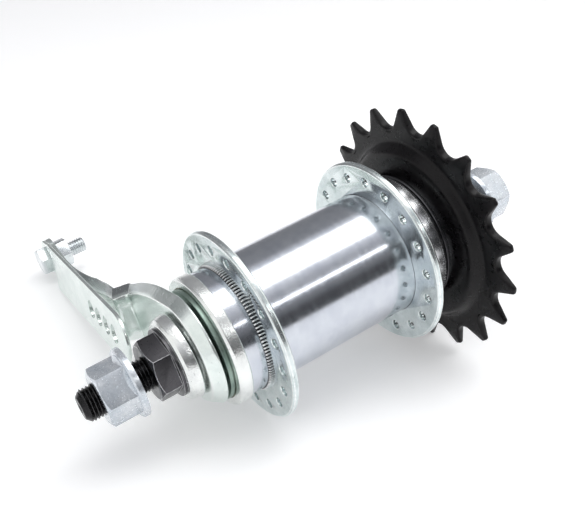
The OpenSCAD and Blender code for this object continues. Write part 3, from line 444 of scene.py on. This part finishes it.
def knurl_lathe():
    """A band of straight ridges round the neck: each has a rounded crest and a domed end towards the collar."""
    shape = [(-28.25, 0.0), (-28.2, 0.3), (-28.07, 0.62), (-27.88, 0.86), (-27.6, 1.0), (-27.3, 1.0),
             (-27.0, 1.0)]
    per = 10
    verts, deep = [], []
    for i in range(KNURLS * per):
        angle = TAU * i / (KNURLS * per)
        wave = 0.5 + 0.5 * math.cos(TAU * (i % per) / per)
        crest = wave ** KNURL_SHARPNESS
        for y, rise in [(-27.0, -1.0), (-28.25, -1.0)] + shape:
            top = KNURL_VALLEY_R + KNURL_HEIGHT * crest * max(rise, 0.0)
            radius = KNURL_INNER_R if rise < 0 else top
            verts.append((radius * math.cos(angle), y, radius * math.sin(angle)))
            deep.append(0.0 if rise < 0 else 1.0 - crest * min(1.0, 0.35 + rise))
    count, total = 2 + len(shape), KNURLS * per
    faces = []
    for i in range(total):
        a, b = i * count, (i + 1) % total * count
        for k in range(count):
            n = (k + 1) % count
            faces.append((a + k, a + n, b + n, b + k))
    return verts, faces, deep


verts, faces, deep = knurl_lathe()
DEEP_AT = {tuple(round(c, 3) for c in v): d for v, d in zip(verts, deep)}
ridges = piece("shell_knurl", verts, faces, "knurl_steel", "shell", sharp=75)
# The "deep" attribute marks the knurl valleys, where knurl_steel paints shade almost to black.
layer = ridges.data.attributes.new("deep", "FLOAT", "POINT")
for i, vert in enumerate(ridges.data.vertices):
    layer.data[i].value = DEEP_AT.get(tuple(round(c / MM, 3) for c in vert.co), 0.0)

dressed("flange_brake", "flange_zinc", 0.22)
dressed("flange_drive", "flange_zinc", 0.22)

verts, faces = lathe(rounded([
    (16.975, -37.25, 0.15), (19.1, -37.25, 0.5), (19.8, -36.5, 0.6), (19.8, -33.3, 0.35), (17.4, -33.3),
    (17.4, -28.8), (13.6, -28.8), (13.6, -33.0), (16.975, -33.0)], 4))
piece("cup_brake_collar", verts, faces, "rim_zinc", "shell", ["cup_brake"])

verts, faces = lathe(rounded([
    (15.2, 21.85), (17.2, 21.85), (17.2, 24.9), (21.5, 24.9, 0.5), (21.5, 32.7, 0.8), (20.5, 33.7, 0.6),
    (18.675, 33.7, 0.15), (18.675, 28.5), (15.2, 28.5)], 4))
piece("cup_drive_collar", verts, faces, "collar_steel", "shell", ["cup_drive"])

# ---------------------------------------------------------------- sprocket

TEETH = 18
PITCH_R = 12.7 / (2 * math.sin(math.pi / TEETH))
TIP_R = PITCH_R + 3.05
GAP_C = PITCH_R + 0.8
GAP_R = 4.0
TOOTH_Y = 40.75
HALF = 1.3


def sprocket_outline():
    """One closed outline of all the teeth, counted round the axle, with softened tips."""
    tip_a = math.pi / TEETH - math.asin(1.0 / TIP_R)
    tip = Vector((TIP_R * math.cos(tip_a), TIP_R * math.sin(tip_a)))
    to_tip = tip - Vector((GAP_C, 0))
    touch_a = math.atan2(to_tip.y, to_tip.x) + math.acos(GAP_R / to_tip.length)
    corners = []
    for tooth in range(TEETH):
        turn = math.radians(5.2) + (tooth + 0.5) * TAU / TEETH
        spin = Matrix.Rotation(turn, 2)
        line = [(tip.x, -tip.y, 0.75)]
        for k in range(13):
            angle = -touch_a + (touch_a * 2 - TAU) * k / 12
            line.append((GAP_C + GAP_R * math.cos(angle), GAP_R * math.sin(angle), 0))
        line.append((tip.x, tip.y, 0.75))
        for x, z, radius in line:
            spot = spin @ Vector((x, z))
            corners.append((spot.x, spot.y, radius))
    return rounded(corners, 5)


def sprocket_mesh():
    """The sprocket plate: thinner towards the tooth tips and dished between the teeth and the driver."""
    outline = [Vector(p) for p in sprocket_outline()]
    count = len(outline)
    inward = []
    for i in range(count):
        along = (outline[(i + 1) % count] - outline[i - 1]).normalized()
        normal = Vector((-along.y, along.x))
        if normal.dot(outline[i]) > 0:
            normal = -normal
        inward.append(normal)

    def half_at(r):
        return HALF - 0.55 * max(0.0, min(1.0, (r - PITCH_R + 1.5) / (TIP_R - PITCH_R + 1.5)))

    rings = []

    def edge_ring(inset, side, drop):
        ring = []
        for p, n in zip(outline, inward):
            q = p + n * inset
            ring.append((q.x, TOOTH_Y + side * (half_at(q.length) - drop), q.y))
        rings.append(ring)

    def round_ring(r, y, blend=0.0):
        ring = []
        for p in outline:
            reach = min(p.length - 1.2, r) if blend else r
            q = p.normalized() * reach
            ring.append((q.x, y if not blend else TOOTH_Y + blend * half_at(reach), q.y))
        rings.append(ring)

    brake_side = [(32.5, 39.45), (30.6, 39.45), (29.6, 39.38), (28.9, 39.0), (28.3, 38.3), (27.6, 37.4),
                  (27.0, 36.8), (26.2, 36.47), (25.0, 36.4), (22.0, 36.4), (18.2, 36.4), (17.6, 36.55)]
    drive_side = [(17.6, 38.85), (18.2, 39.0), (22.0, 39.0), (24.4, 39.0), (25.4, 39.1), (26.2, 39.5),
                  (26.9, 40.4), (27.6, 41.3), (28.3, 41.85), (29.4, 42.05), (30.6, 42.05), (32.5, 42.05)]
    for side, path in ((-1, brake_side), (1, drive_side)):
        if side < 0:
            edge_ring(0.0, side, 0.5)
            edge_ring(0.14, side, 0.2)
            edge_ring(0.42, side, 0.0)
            round_ring(35.2, 0, side)
            for r, y in path:
                round_ring(r, y)
        else:
            for r, y in path:
                round_ring(r, y)
            round_ring(35.2, 0, side)
            edge_ring(0.42, side, 0.0)
            edge_ring(0.14, side, 0.2)
            edge_ring(0.0, side, 0.5)
    verts = [v for ring in rings for v in ring]
    faces = []
    total = len(rings)
    for k in range(total):
        a, b = k * count, (k + 1) % total * count
        for i in range(count):
            n = (i + 1) % count
            faces.append((a + i, a + n, b + n, b + i))
    return verts, faces


verts, faces = sprocket_mesh()
piece("sprocket_plate", verts, faces, "black_paint", "driver_set", ["sprocket"], sharp=50,
      wear_and_highlight=lambda p: max(0.0, min(1.0, (math.hypot(p.x, p.z) - 38.6) * 1.2)) * 0.5)

# ---------------------------------------------------------------- pressed sheet pieces


def ease(t):
    t = max(0.0, min(1.0, t))
    return t * t * (3 - 2 * t)


def smooth_line(points, steps=8):
    """A smooth curve through points (Catmull-Rom), ends included."""
    out = []
    padded = [2 * points[0] - points[1]] + points + [2 * points[-1] - points[-2]]
    for k in range(1, len(padded) - 2):
        a, b, c, d = padded[k - 1:k + 3]
        for j in range(steps):
            t = j / steps
            out.append(0.5 * (2 * b + (c - a) * t + (2 * a - 5 * b + 4 * c - d) * t * t
                              + (3 * b - a - 3 * c + d) * t * t * t))
    out.append(points[-1])
    return out


def even(points, step):
    """The closed line with points at an even distance."""
    closed = points + [points[0]]
    lengths = [0.0]
    for a, b in zip(closed, closed[1:]):
        lengths.append(lengths[-1] + (b - a).length)
    count = int(lengths[-1] / step)
    out, k = [], 0
    for i in range(count):
        want = lengths[-1] * i / count
        while lengths[k + 1] < want:
            k += 1
        share = (want - lengths[k]) / max(1e-9, lengths[k + 1] - lengths[k])
        out.append(closed[k].lerp(closed[k + 1], share))
    return out


def outward_normals(line):
    area = sum(a.x * b.y - b.x * a.y for a, b in zip(line, line[1:] + line[:1]))
    out = []
    for i in range(len(line)):
        along = (line[(i + 1) % len(line)] - line[i - 1]).normalized()
        out.append(Vector((along.y, -along.x)) * (1 if area > 0 else -1))
    return out


def sheet_piece(line, section, holes, front, back, place, spacing=2.2, hole_round=0.2, fine=None):
    """A pressed sheet: section(i) gives the edge's outline as (outward, depth) from the front face round to the
    back face, holes are closed lines, front(p) and back(p) give the depth of both faces at a point, and
    place(x, z, depth) puts a point in space. Faces are filled with an even net, so they may curve."""
    normals = outward_normals(line)
    count = len(line)
    rings = [[] for _ in section(0)]
    for i, (p, n) in enumerate(zip(line, normals)):
        for k, (out_by, depth) in enumerate(section(i)):
            q = p + n * out_by
            rings[k].append((q.x, q.y, depth))
    verts = [v for ring in rings for v in ring]
    faces = []
    for k in range(len(rings) - 1):
        for i in range(count):
            n = (i + 1) % count
            faces.append((k * count + i, k * count + n, (k + 1) * count + n, (k + 1) * count + i))
    for ring, depth_at, at, drop in ((0, front, 0, 1), (len(rings) - 1, back, 1, -1)):
        border = [Vector(v[:2]) for v in rings[ring]]
        outlines = [border]
        for hole in holes:
            outlines.append([p + n * hole_round for p, n in zip(hole, outward_normals(hole))])
        flat = [p for outline in outlines for p in outline]
        edges, start = [], 0
        for outline in outlines:
            m = len(outline)
            edges += [(start + j, start + (j + 1) % m) for j in range(m)]
            start += m
        low = Vector((min(p.x for p in border), min(p.y for p in border)))
        high = Vector((max(p.x for p in border), max(p.y for p in border)))
        inner = []
        x = low.x + spacing / 2
        while x < high.x:
            y = low.y + spacing / 2
            while y < high.y:
                spot = Vector((x, y))
                near = fine and fine[0] - 0.4 < x < fine[1] + 0.4
                if not near and inside(spot, border) and far_from(spot, outlines, spacing * 0.45) and not any(
                        inside(spot, hole) for hole in outlines[1:]):
                    inner.append(spot)
                y += spacing
            x += spacing
        if fine:
            columns = [fine[0] + (fine[1] - fine[0]) * j / 7 for j in range(8)]
            for x in columns:
                y = low.y + 0.6
                while y < high.y:
                    spot = Vector((x, y))
                    if inside(spot, border) and far_from(spot, outlines, 0.5):
                        inner.append(spot)
                    y += 1.1
        points, _, triangles, origin, _, _ = delaunay_2d_cdt(flat + inner, edges, [], 0, 1e-7)
        base = len(verts)
        keep = {}
        for j, p in enumerate(points):
            source = origin[j][0] if origin[j] else None
            if source is not None and source < len(border):
                keep[j] = ring * count + source
            else:
                keep[j] = len(verts)
                verts.append((p.x, p.y, depth_at(p)))
        for tri in triangles:
            middle = sum((points[j] for j in tri), Vector((0, 0))) / len(tri)
            if inside(middle, border) and not any(inside(middle, hole) for hole in outlines[1:]):
                faces.append(tuple(keep[j] for j in tri))
    for hole in holes:
        normals_h = outward_normals(hole)
        rows = []
        for which in range(4):
            row = []
            for p, n in zip(hole, normals_h):
                wide = p + n * hole_round
                if which == 0:
                    row.append((wide.x, wide.y, front(wide)))
                elif which == 1:
                    row.append((p.x, p.y, front(p) + hole_round))
                elif which == 2:
                    row.append((p.x, p.y, back(p) - hole_round))
                else:
                    row.append((wide.x, wide.y, back(wide)))
            rows.append(row)
        start = len(verts)
        m = len(hole)
        verts += [v for row in rows for v in row]
        for k in range(3):
            for i in range(m):
                n = (i + 1) % m
                a, b = start + k * m, start + (k + 1) * m
                faces.append((a + i, a + n, b + n, b + i))
    return [place(*v) for v in verts], faces


def inside(p, line):
    hit = False
    j = len(line) - 1
    for i in range(len(line)):
        a, b = line[i], line[j]
        if (a.y > p.y) != (b.y > p.y) and p.x < (b.x - a.x) * (p.y - a.y) / (b.y - a.y) + a.x:
            hit = not hit
        j = i
    return hit


def far_from(p, lines, distance):
    return all((p - q).length > distance for line in lines for q in line)


def circle_line(x, z, r, count=40):
    return [Vector((x + r * math.cos(TAU * i / count), z + r * math.sin(TAU * i / count)))
            for i in range(count)]


# ---------------------------------------------------------------- brake arm

ARM_LIP = 3.75
ARM_FLARE = 2.6
HEAD_R = 14.9
EYE_R = 7.5
CLIP_HOLE_R = 3.05
CRANK_DEPTH = ARM_FACE_Y - ARM_MID_Y
CRANK_X, CRANK_RUN = -37.3, 2.7
CRANK_MIDDLE_X, CRANK_REACH = -44, 14
CRANK_SLANT = 6.0
LIP_END_X, LIP_FADE = -68, 31
# Where the painted shade on the arm's turned edge begins, and the length over which it fades in.
PAINTED_SHADE_X, PAINTED_SHADE_FADE = -8, 14
TOP = [(1, 14.86), (-13, 13.4), (-25, 10.6), (-38, 6.6), (-43, 5.6), (-50, 4.5), (-62, 2.0), (-75, 0.7),
       (-90, 0.8), (-99, 2.4)]
LOW = [(1, -14.86), (-13, -13.6), (-25, -11.4), (-38, -9.7), (-43, -9.3), (-50, -8.9), (-62, -8.5), (-75, -8),
       (-90, -7.6), (-99, -7.3)]


def arm_line():
    """The arm's outline in the plane of its face: head, upper edge, eye and lower edge."""
    upper = smooth_line([Vector(p) for p in TOP] + [Vector((-107.5, 5.2))], 6)
    lower = smooth_line([Vector(p) for p in LOW] + [Vector((-109.5, -7.2))], 6)
    eye = [Vector((EYE_X + EYE_R * math.cos(a), EYE_R * math.sin(a)))
           for a in [math.radians(58 + (290 - 58) * k / 30) for k in range(31)]]
    head = [Vector((HEAD_R * math.cos(a), HEAD_R * math.sin(a)))
            for a in [math.radians(-86 + 172 * k / 40) for k in range(41)]]
    return even(upper[:-1] + eye + lower[::-1][1:] + head, 0.32)


def arm_depth(p, slant=0.0):
    """Depth of the arm's face: it steps outwards at the crank, which runs slantwise over the turned edge."""
    return -CRANK_DEPTH * ease((CRANK_X - slant - p.x) / (CRANK_RUN + 0.08 * slant))


ARM_LINE = arm_line()


def arm_section(i):
    p = ARM_LINE[i]
    share = 1 - max(0.0, min(1.0, (LIP_END_X - p.x) / LIP_FADE))
    near_crank = max(0.0, 1.0 - ((p.x - CRANK_MIDDLE_X) / CRANK_REACH) ** 2) ** 2
    depth = ARM_T + (ARM_LIP - 0.6 * near_crank - ARM_T) * share
    slope = ARM_FLARE * share / ARM_LIP
    wall = 0.35 + 2.1 * share
    corners = [(-2.7, 0), (0, 0, 0.3 * share + 0.3), (slope * depth, depth, 0.4),
               (slope * depth - wall, depth, 0.35), (slope * ARM_T - wall - 0.2, ARM_T, 0.6 * share),
               (-2.7, ARM_T)]
    line = rounded(corners, 4)
    reach = max(1e-6, slope * depth)
    points = fixed_count(line, corners)
    front, lip, back = points[:6], points[6:16], points[16:]
    outer = [(slide(front[-1], lip[0], k / 9), "outer") for k in range(1, 9)]
    inner = [(slide(lip[-1], back[0], k / 9), "inner") for k in range(1, 9)]
    out = []
    for (out_by, deep), side in ([(q, "outer") for q in front] + outer + [(q, "outer") for q in lip[:5]]
                                 + [(q, "inner") for q in lip[5:]] + inner + [(q, "inner") for q in back]):
        along = out_by / reach if side == "outer" else (deep - ARM_T) / max(1e-6, depth - ARM_T)
        out.append((out_by, arm_depth(p, CRANK_SLANT * max(0.0, min(1.0, along)) * share) + deep))
    return out


def slide(a, b, t):
    return (a[0] + (b[0] - a[0]) * t, a[1] + (b[1] - a[1]) * t)


def fixed_count(line, corners):
    """The edge outline with the same number of points at every station."""
    want = 2 + 4 * 5
    if len(line) == want:
        return line
    out = []
    for k, corner in enumerate(corners):
        if k in (0, 5):
            out.append(corner[:2])
            continue
        turned = (corner[0], corner[1], max(0.02, corner[2]))
        part = rounded([corners[k - 1][:2], turned, corners[k + 1][:2]], 4)[1:-1]
        while len(part) < 5:
            part.append(part[-1])
        out += part[:5]
    return out


hexagon = circle_line(0, 0, 10.42, 6)
verts, faces = sheet_piece(
    ARM_LINE, arm_section, [even(hexagon, 1.2), circle_line(EYE_X, 0, CLIP_HOLE_R)],
    lambda p: arm_depth(p), lambda p: arm_depth(p) + ARM_T,
    lambda x, z, depth: (x, ARM_FACE_Y + depth, z), 2.7, fine=(-40.5, -36.9))
FOLD_TREE = KDTree(len(ARM_LINE))
for i, p in enumerate(ARM_LINE):
    FOLD_TREE.insert((p.x, p.y, 0), i)
FOLD_TREE.balance()
FOLD_NORMALS = outward_normals(ARM_LINE)


def fold_painted_highlight(p):
    """1 on the painted highlight line where the face turns into the edge, 0 away from it."""
    near = FOLD_TREE.find((p.x, p.z, 0))[2]
    raised = abs(p.y - ARM_FACE_Y - arm_depth(Vector((p.x, p.z))))
    return max(0.0, 1.0 - near / 0.5) * max(0.0, 1.0 - raised / 0.8)


def painted_edge_shade_mask(p):
    """1 on the outer side of the turned edge past the head, where a darker tone is painted in as shade, standing
    in for a dim reflection.
    """
    spot, index, near = FOLD_TREE.find((p.x, p.z, 0))
    out = (p.x - spot.x) * FOLD_NORMALS[index].x + (p.z - spot.y) * FOLD_NORMALS[index].y
    return ease((out - 0.15) / 0.7) * ease((PAINTED_SHADE_X - p.x) / PAINTED_SHADE_FADE) if near > 0.1 else 0.0


# The arm's pale tint on its fold line is a painted highlight, and the "deep" attribute below lays painted shade
# on the outer side of its turned edge past the head.
arm = piece("arm_pressed", verts, faces, "satin_zinc", "axle_set", ["brake_arm"], sharp=62, wear_and_highlight=fold_painted_highlight)
layer = arm.data.attributes.new("deep", "FLOAT", "POINT")
for i, vert in enumerate(arm.data.vertices):
    layer.data[i].value = painted_edge_shade_mask(vert.co / MM)

# ---------------------------------------------------------------- clip strap, bolt

STRAP_T = 1.3
STRAP_LENGTH = 83.5
STRAP_HALF = 8.5
STRAP_EYE_R = 7.5
STRAP_HOLE_R = 3.1
STRAP_STRAIGHT = 12
STRAP_ROLL, STRAP_LEAN, STRAP_SLOPE = -9, -1.3, 1.7
STRAP_STEP = 1.6
CLIP_Y = ARM_MID_Y - 0.05


def strap_line():
    """The strap's outline along its own length: eye, straight sides, rounded end."""
    eye = [Vector((STRAP_EYE_R * math.cos(a), STRAP_EYE_R * math.sin(a)))
           for a in [math.radians(98 + 164 * k / 24) for k in range(25)]]
    end = [Vector((STRAP_LENGTH + STRAP_HALF * math.cos(a), STRAP_HALF * math.sin(a)))
           for a in [math.radians(-90 + 180 * k / 28) for k in range(29)]]
    lower, upper = Vector((STRAP_STRAIGHT, -STRAP_HALF)), Vector((STRAP_STRAIGHT, STRAP_HALF))
    return even(eye + [lower] + end + [upper], 1.1)


STRAP_LINE = strap_line()


def strap_section(i):
    return rounded([(-1.0, 0), (0, 0, 0.35), (0, STRAP_T, 0.35), (-1.0, STRAP_T)], 3)


def strap_place(u, w, depth):
    """From the strap's flat blank to its bent, rolled and leaning place. Depth 0 is the outer face."""
    share = ease((u - 6.1) / 6.0)
    roll = math.radians(STRAP_ROLL) * share
    y = depth * math.cos(roll) - w * math.sin(roll)
    z = depth * math.sin(roll) + w * math.cos(roll)
    x = u
    if u > STRAP_STRAIGHT:
        lean = math.radians(STRAP_LEAN)
        past = u - STRAP_STRAIGHT
        x = STRAP_STRAIGHT + past * math.cos(lean) - y * math.sin(lean)
        y = past * math.sin(lean) + y * math.cos(lean)
    y -= STRAP_STEP * share
    slope = math.radians(STRAP_SLOPE)
    x, z = x * math.cos(slope) + z * math.sin(slope), -x * math.sin(slope) + z * math.cos(slope)
    return (EYE_X + x, CLIP_Y - STRAP_T + y, z)


strap_holes = [circle_line(x, 0, STRAP_HOLE_R, 36) for x in [80 - 7.6 * k for k in range(4)] + [0]]
verts, faces = sheet_piece(STRAP_LINE, strap_section, strap_holes, lambda p: 0.0, lambda p: STRAP_T,
                           strap_place, 1.8, 0.15)
piece("strap_pressed", verts, faces, "satin_zinc", "strap", ["clip_strap"], sharp=38)

HEAD_Y = CLIP_Y - STRAP_T - 0.05
dressed("clip_bolt", "bright_zinc", 0.3, drop=lambda p: p.y > HEAD_Y + 0.02)
verts, faces = thread(3.0, 0.42, 1.0, HEAD_Y - 1.0, HEAD_Y + 15.0, tip=0.6, seg=48, centre_drill=False)
piece("clip_bolt_thread", [(x + EYE_X, y, z) for x, y, z in verts], faces, "bright_zinc", "axle_set", sharp=55)

# ---------------------------------------------------------------- the pieces inside and behind

for node, material, width in (
        ("brake_cone", "hard_steel", 0.15), ("drive_cone", "hard_steel", 0.15), ("driver", "hard_steel", 0.15),
        ("snap_ring", "black_steel", 0.12), ("driver_dust_cap", "dark_cap", 0.2),
        ("cone_dust_cap", "dark_cap", 0.15), ("brake_dust_cap", "cap_painted_shade", 0.2), ("clutch_cone", "bronze", 0.15),
        ("clutch_spring", "hard_steel", 0.1), ("brake_shoe_front", "bronze", 0.15),
        ("brake_shoe_rear", "bronze", 0.15), ("cage_brake", "cage_steel", 0.0), ("cage_shell", "cage_steel", 0.0),
        ("cage_cone", "cage_steel", 0.0)):
    dressed(node, material, width)
for node in ("balls_brake", "balls_shell", "balls_cone"):
    ball = frame["nodes"][node]
    for k in range(len(ball.material_slots)):
        ball.material_slots[k].material = MAT["ball_steel"]
    if not ball.material_slots:
        ball.data.materials.append(MAT["ball_steel"])

# ---------------------------------------------------------------- floor, light and camera

CAMERA = Vector((188.0, -96.5, 108.8)) * MM
RIGHT = Vector((0.4717, 0.8395, -0.2696))
DOWN = Vector((0.2656, -0.4268, -0.8644))
AHEAD = Vector((-0.8408, 0.3362, -0.4243))
FOCAL_PX, MIDDLE_X, MIDDLE_Y = 806.3, 237.62, 275.55
WIDTH, HEIGHT = 585, 523
SENSOR_WIDTH = 36.0

camera_data = bpy.data.cameras.new("camera")
camera_data.sensor_width = SENSOR_WIDTH
camera_data.lens = FOCAL_PX / WIDTH * SENSOR_WIDTH
camera_data.shift_x = (WIDTH / 2 - MIDDLE_X) / WIDTH
camera_data.shift_y = (MIDDLE_Y - HEIGHT / 2) / WIDTH
camera_data.clip_start = 0.005
camera = bpy.data.objects.new("camera", camera_data)
bpy.context.scene.collection.objects.link(camera)
up, back = -DOWN, -AHEAD
camera.matrix_world = Matrix((
    (RIGHT.x, up.x, back.x, CAMERA.x), (RIGHT.y, up.y, back.y, CAMERA.y), (RIGHT.z, up.z, back.z, CAMERA.z),
    (0, 0, 0, 1)))
bpy.context.scene.camera = camera

FLOOR_N = Vector((0.144, 0.155, 0.977)).normalized()
FLOOR_D = -32.8 * MM
FLOOR_HALF = 6.0
FLOOR_GLOW = 0.3


def floor():
    """A pale sheet under the hub, clear from below."""
    g = Graph("floor_pale")
    g.nodes.remove(g.bsdf)
    paper = g.add("ShaderNodeBsdfDiffuse")
    paper.inputs["Color"].default_value = (0.9, 0.9, 0.895, 1)
    glow = g.add("ShaderNodeEmission")
    glow.inputs["Color"].default_value = (1, 1, 1, 1)
    path = g.add("ShaderNodeLightPath")
    seen = g.math("MAXIMUM", path.outputs["Is Camera Ray"], path.outputs["Is Glossy Ray"])
    seen = g.math("MAXIMUM", seen, path.outputs["Is Transmission Ray"])
    g.join(g.math("MULTIPLY", seen, FLOOR_GLOW), glow.inputs["Strength"])
    both = g.add("ShaderNodeAddShader")
    g.join(paper.outputs[0], both.inputs[0])
    g.join(glow.outputs[0], both.inputs[1])
    clear = g.add("ShaderNodeBsdfTransparent")
    turn = g.add("ShaderNodeMixShader")
    behind = g.add("ShaderNodeNewGeometry").outputs["Backfacing"]
    g.join(behind, turn.inputs[0])
    g.join(both.outputs[0], turn.inputs[1])
    g.join(clear.outputs[0], turn.inputs[2])
    g.join(turn.outputs[0], g.nodes["Material Output"].inputs["Surface"])
    side_a = Vector((1, 0, -FLOOR_N.x / FLOOR_N.z)).normalized()
    side_b = FLOOR_N.cross(side_a)
    middle = FLOOR_N * FLOOR_D
    mesh = bpy.data.meshes.new("floor")
    corners = [middle + side_a * a * FLOOR_HALF + side_b * b * FLOOR_HALF
               for a, b in ((-1, -1), (1, -1), (1, 1), (-1, 1))]
    mesh.from_pydata(corners, [], [(0, 1, 2, 3)])
    mesh.materials.append(g.material)
    made = bpy.data.objects.new("floor", mesh)
    bpy.context.scene.collection.objects.link(made)


floor()


def lamp(name, ward, distance, width, height, radiance):
    """A soft box in the direction ward from the origin, its height along the axle."""
    data = bpy.data.lights.new(name, "AREA")
    data.shape = "RECTANGLE"
    data.size = width
    data.size_y = height
    data.energy = radiance * width * height * math.pi
    made = bpy.data.objects.new(name, data)
    bpy.context.scene.collection.objects.link(made)
    ward = Vector(ward).normalized()
    y_axis = Vector((0, 1, 0))
    y_axis = (y_axis - ward * y_axis.dot(ward)).normalized()
    x_axis = y_axis.cross(ward)
    spot = ward * distance
    made.matrix_world = Matrix((
        (x_axis.x, y_axis.x, ward.x, spot.x),
        (x_axis.y, y_axis.y, ward.y, spot.y),
        (x_axis.z, y_axis.z, ward.z, spot.z),
        (0, 0, 0, 1)))


def about_axle(angle, lean=0.406):
    """The direction at an angle about the axle that the barrel mirrors into the camera."""
    a = math.radians(angle)
    reach = math.sqrt(1 - lean * lean)
    return (reach * math.cos(a), lean, reach * math.sin(a))


LAMP_DISTANCE = 0.7
lamp("box_top", about_axle(80), LAMP_DISTANCE, width=0.42, height=0.9, radiance=2.0)
lamp("strip_front", about_axle(30), LAMP_DISTANCE, width=0.035, height=0.7, radiance=5.0)


# Grey levels by the angle about the axle, 0 at the front (+X) and 90 overhead.
LEVELS_BELOW = ((-180, 0.36), (-168, 0.8), (-140, 0.8), (-60, 0.5), (-20, 0.08), (5, 0.09), (20, 0.28),
                (45, 0.55))
LEVELS_BEHIND = ((115, 0.32), (160, 0.26), (180, 0.36))
TENT_LEVELS = LEVELS_BELOW + ((62, 0.9), (98, 0.9)) + LEVELS_BEHIND
# The cards are nearly white at their upper edges, so that no line shows where the white world begins.
CARD_LEVELS = LEVELS_BELOW + ((60, 0.95), (100, 0.95)) + LEVELS_BEHIND
COOL_TINT = (0.985, 0.99, 1.03)
CARD_ARCS = ((-60, 60), (100, 180))
CARD_RADIUS = 3.0
CARD_HALF_LENGTH = 3.0
CARD_STEP = 5


def level_by_angle(tree, coordinate, levels):
    """A colour socket with the grey level for the coordinate's angle about the axle."""
    nodes, links = tree.nodes, tree.links
    place = nodes.new("ShaderNodeTexCoord")
    split = nodes.new("ShaderNodeSeparateXYZ")
    links.new(place.outputs[coordinate], split.inputs[0])
    turn = nodes.new("ShaderNodeMath")
    turn.operation = "ARCTAN2"
    links.new(split.outputs["Z"], turn.inputs[0])
    links.new(split.outputs["X"], turn.inputs[1])
    share = nodes.new("ShaderNodeMapRange")
    links.new(turn.outputs[0], share.inputs["Value"])
    share.inputs["From Min"].default_value = -math.pi
    share.inputs["From Max"].default_value = math.pi
    ramp = nodes.new("ShaderNodeValToRGB")
    links.new(share.outputs["Result"], ramp.inputs["Fac"])
    while len(ramp.color_ramp.elements) < len(levels):
        ramp.color_ramp.elements.new(0.5)
    for element, (angle, level) in zip(ramp.color_ramp.elements, levels):
        element.position = (angle + 180) / 360
        element.color = (*(level * part for part in COOL_TINT), 1)
    return ramp.outputs["Color"]


def world():
    """A light tent for the lighting, and white wherever the camera, metal or glass sees the background."""
    made = bpy.data.worlds.new("tent")
    bpy.context.scene.world = made
    made.use_nodes = True
    tree = made.node_tree
    nodes, links = tree.nodes, tree.links
    tent = nodes["Background"]
    tent.inputs["Strength"].default_value = 1.0
    links.new(level_by_angle(tree, "Generated", TENT_LEVELS), tent.inputs["Color"])
    white = nodes.new("ShaderNodeBackground")
    white.inputs["Strength"].default_value = 1.0
    white.inputs["Color"].default_value = (1, 1, 1, 1)
    path = nodes.new("ShaderNodeLightPath")
    seen = path.outputs["Is Camera Ray"]
    for other in ("Is Glossy Ray", "Is Transmission Ray"):
        either = nodes.new("ShaderNodeMath")
        either.operation = "MAXIMUM"
        links.new(seen, either.inputs[0])
        links.new(path.outputs[other], either.inputs[1])
        seen = either.outputs[0]
    mix = nodes.new("ShaderNodeMixShader")
    links.new(seen, mix.inputs[0])
    links.new(tent.outputs[0], mix.inputs[1])
    links.new(white.outputs[0], mix.inputs[2])
    links.new(mix.outputs[0], nodes["World Output"].inputs["Surface"])


def cards():
    """Two grey cards bent about the axle, far outside the object, which only reflections see.

    They stand for the dark parts of the room that the photograph's metal mirrors.
    """
    material = bpy.data.materials.new("card")
    material.use_nodes = True
    tree = material.node_tree
    tree.nodes.clear()
    glow = tree.nodes.new("ShaderNodeEmission")
    out = tree.nodes.new("ShaderNodeOutputMaterial")
    tree.links.new(level_by_angle(tree, "Object", CARD_LEVELS), glow.inputs["Color"])
    tree.links.new(glow.outputs[0], out.inputs["Surface"])
    for number, (first, last) in enumerate(CARD_ARCS):
        corners, faces = [], []
        for angle in range(first, last + 1, CARD_STEP):
            a = math.radians(angle)
            for y in (-CARD_HALF_LENGTH, CARD_HALF_LENGTH):
                corners.append((CARD_RADIUS * math.cos(a), y, CARD_RADIUS * math.sin(a)))
        for i in range(0, len(corners) - 2, 2):
            faces.append((i, i + 1, i + 3, i + 2))
        mesh = bpy.data.meshes.new(f"card_{number}")
        mesh.from_pydata(corners, [], faces)
        mesh.materials.append(material)
        made = bpy.data.objects.new(f"card_{number}", mesh)
        bpy.context.scene.collection.objects.link(made)
        made.visible_camera = False
        made.visible_diffuse = False
        made.visible_transmission = False
        made.visible_shadow = False


cards()
world()
bpy.context.scene.view_settings.view_transform = "Standard"
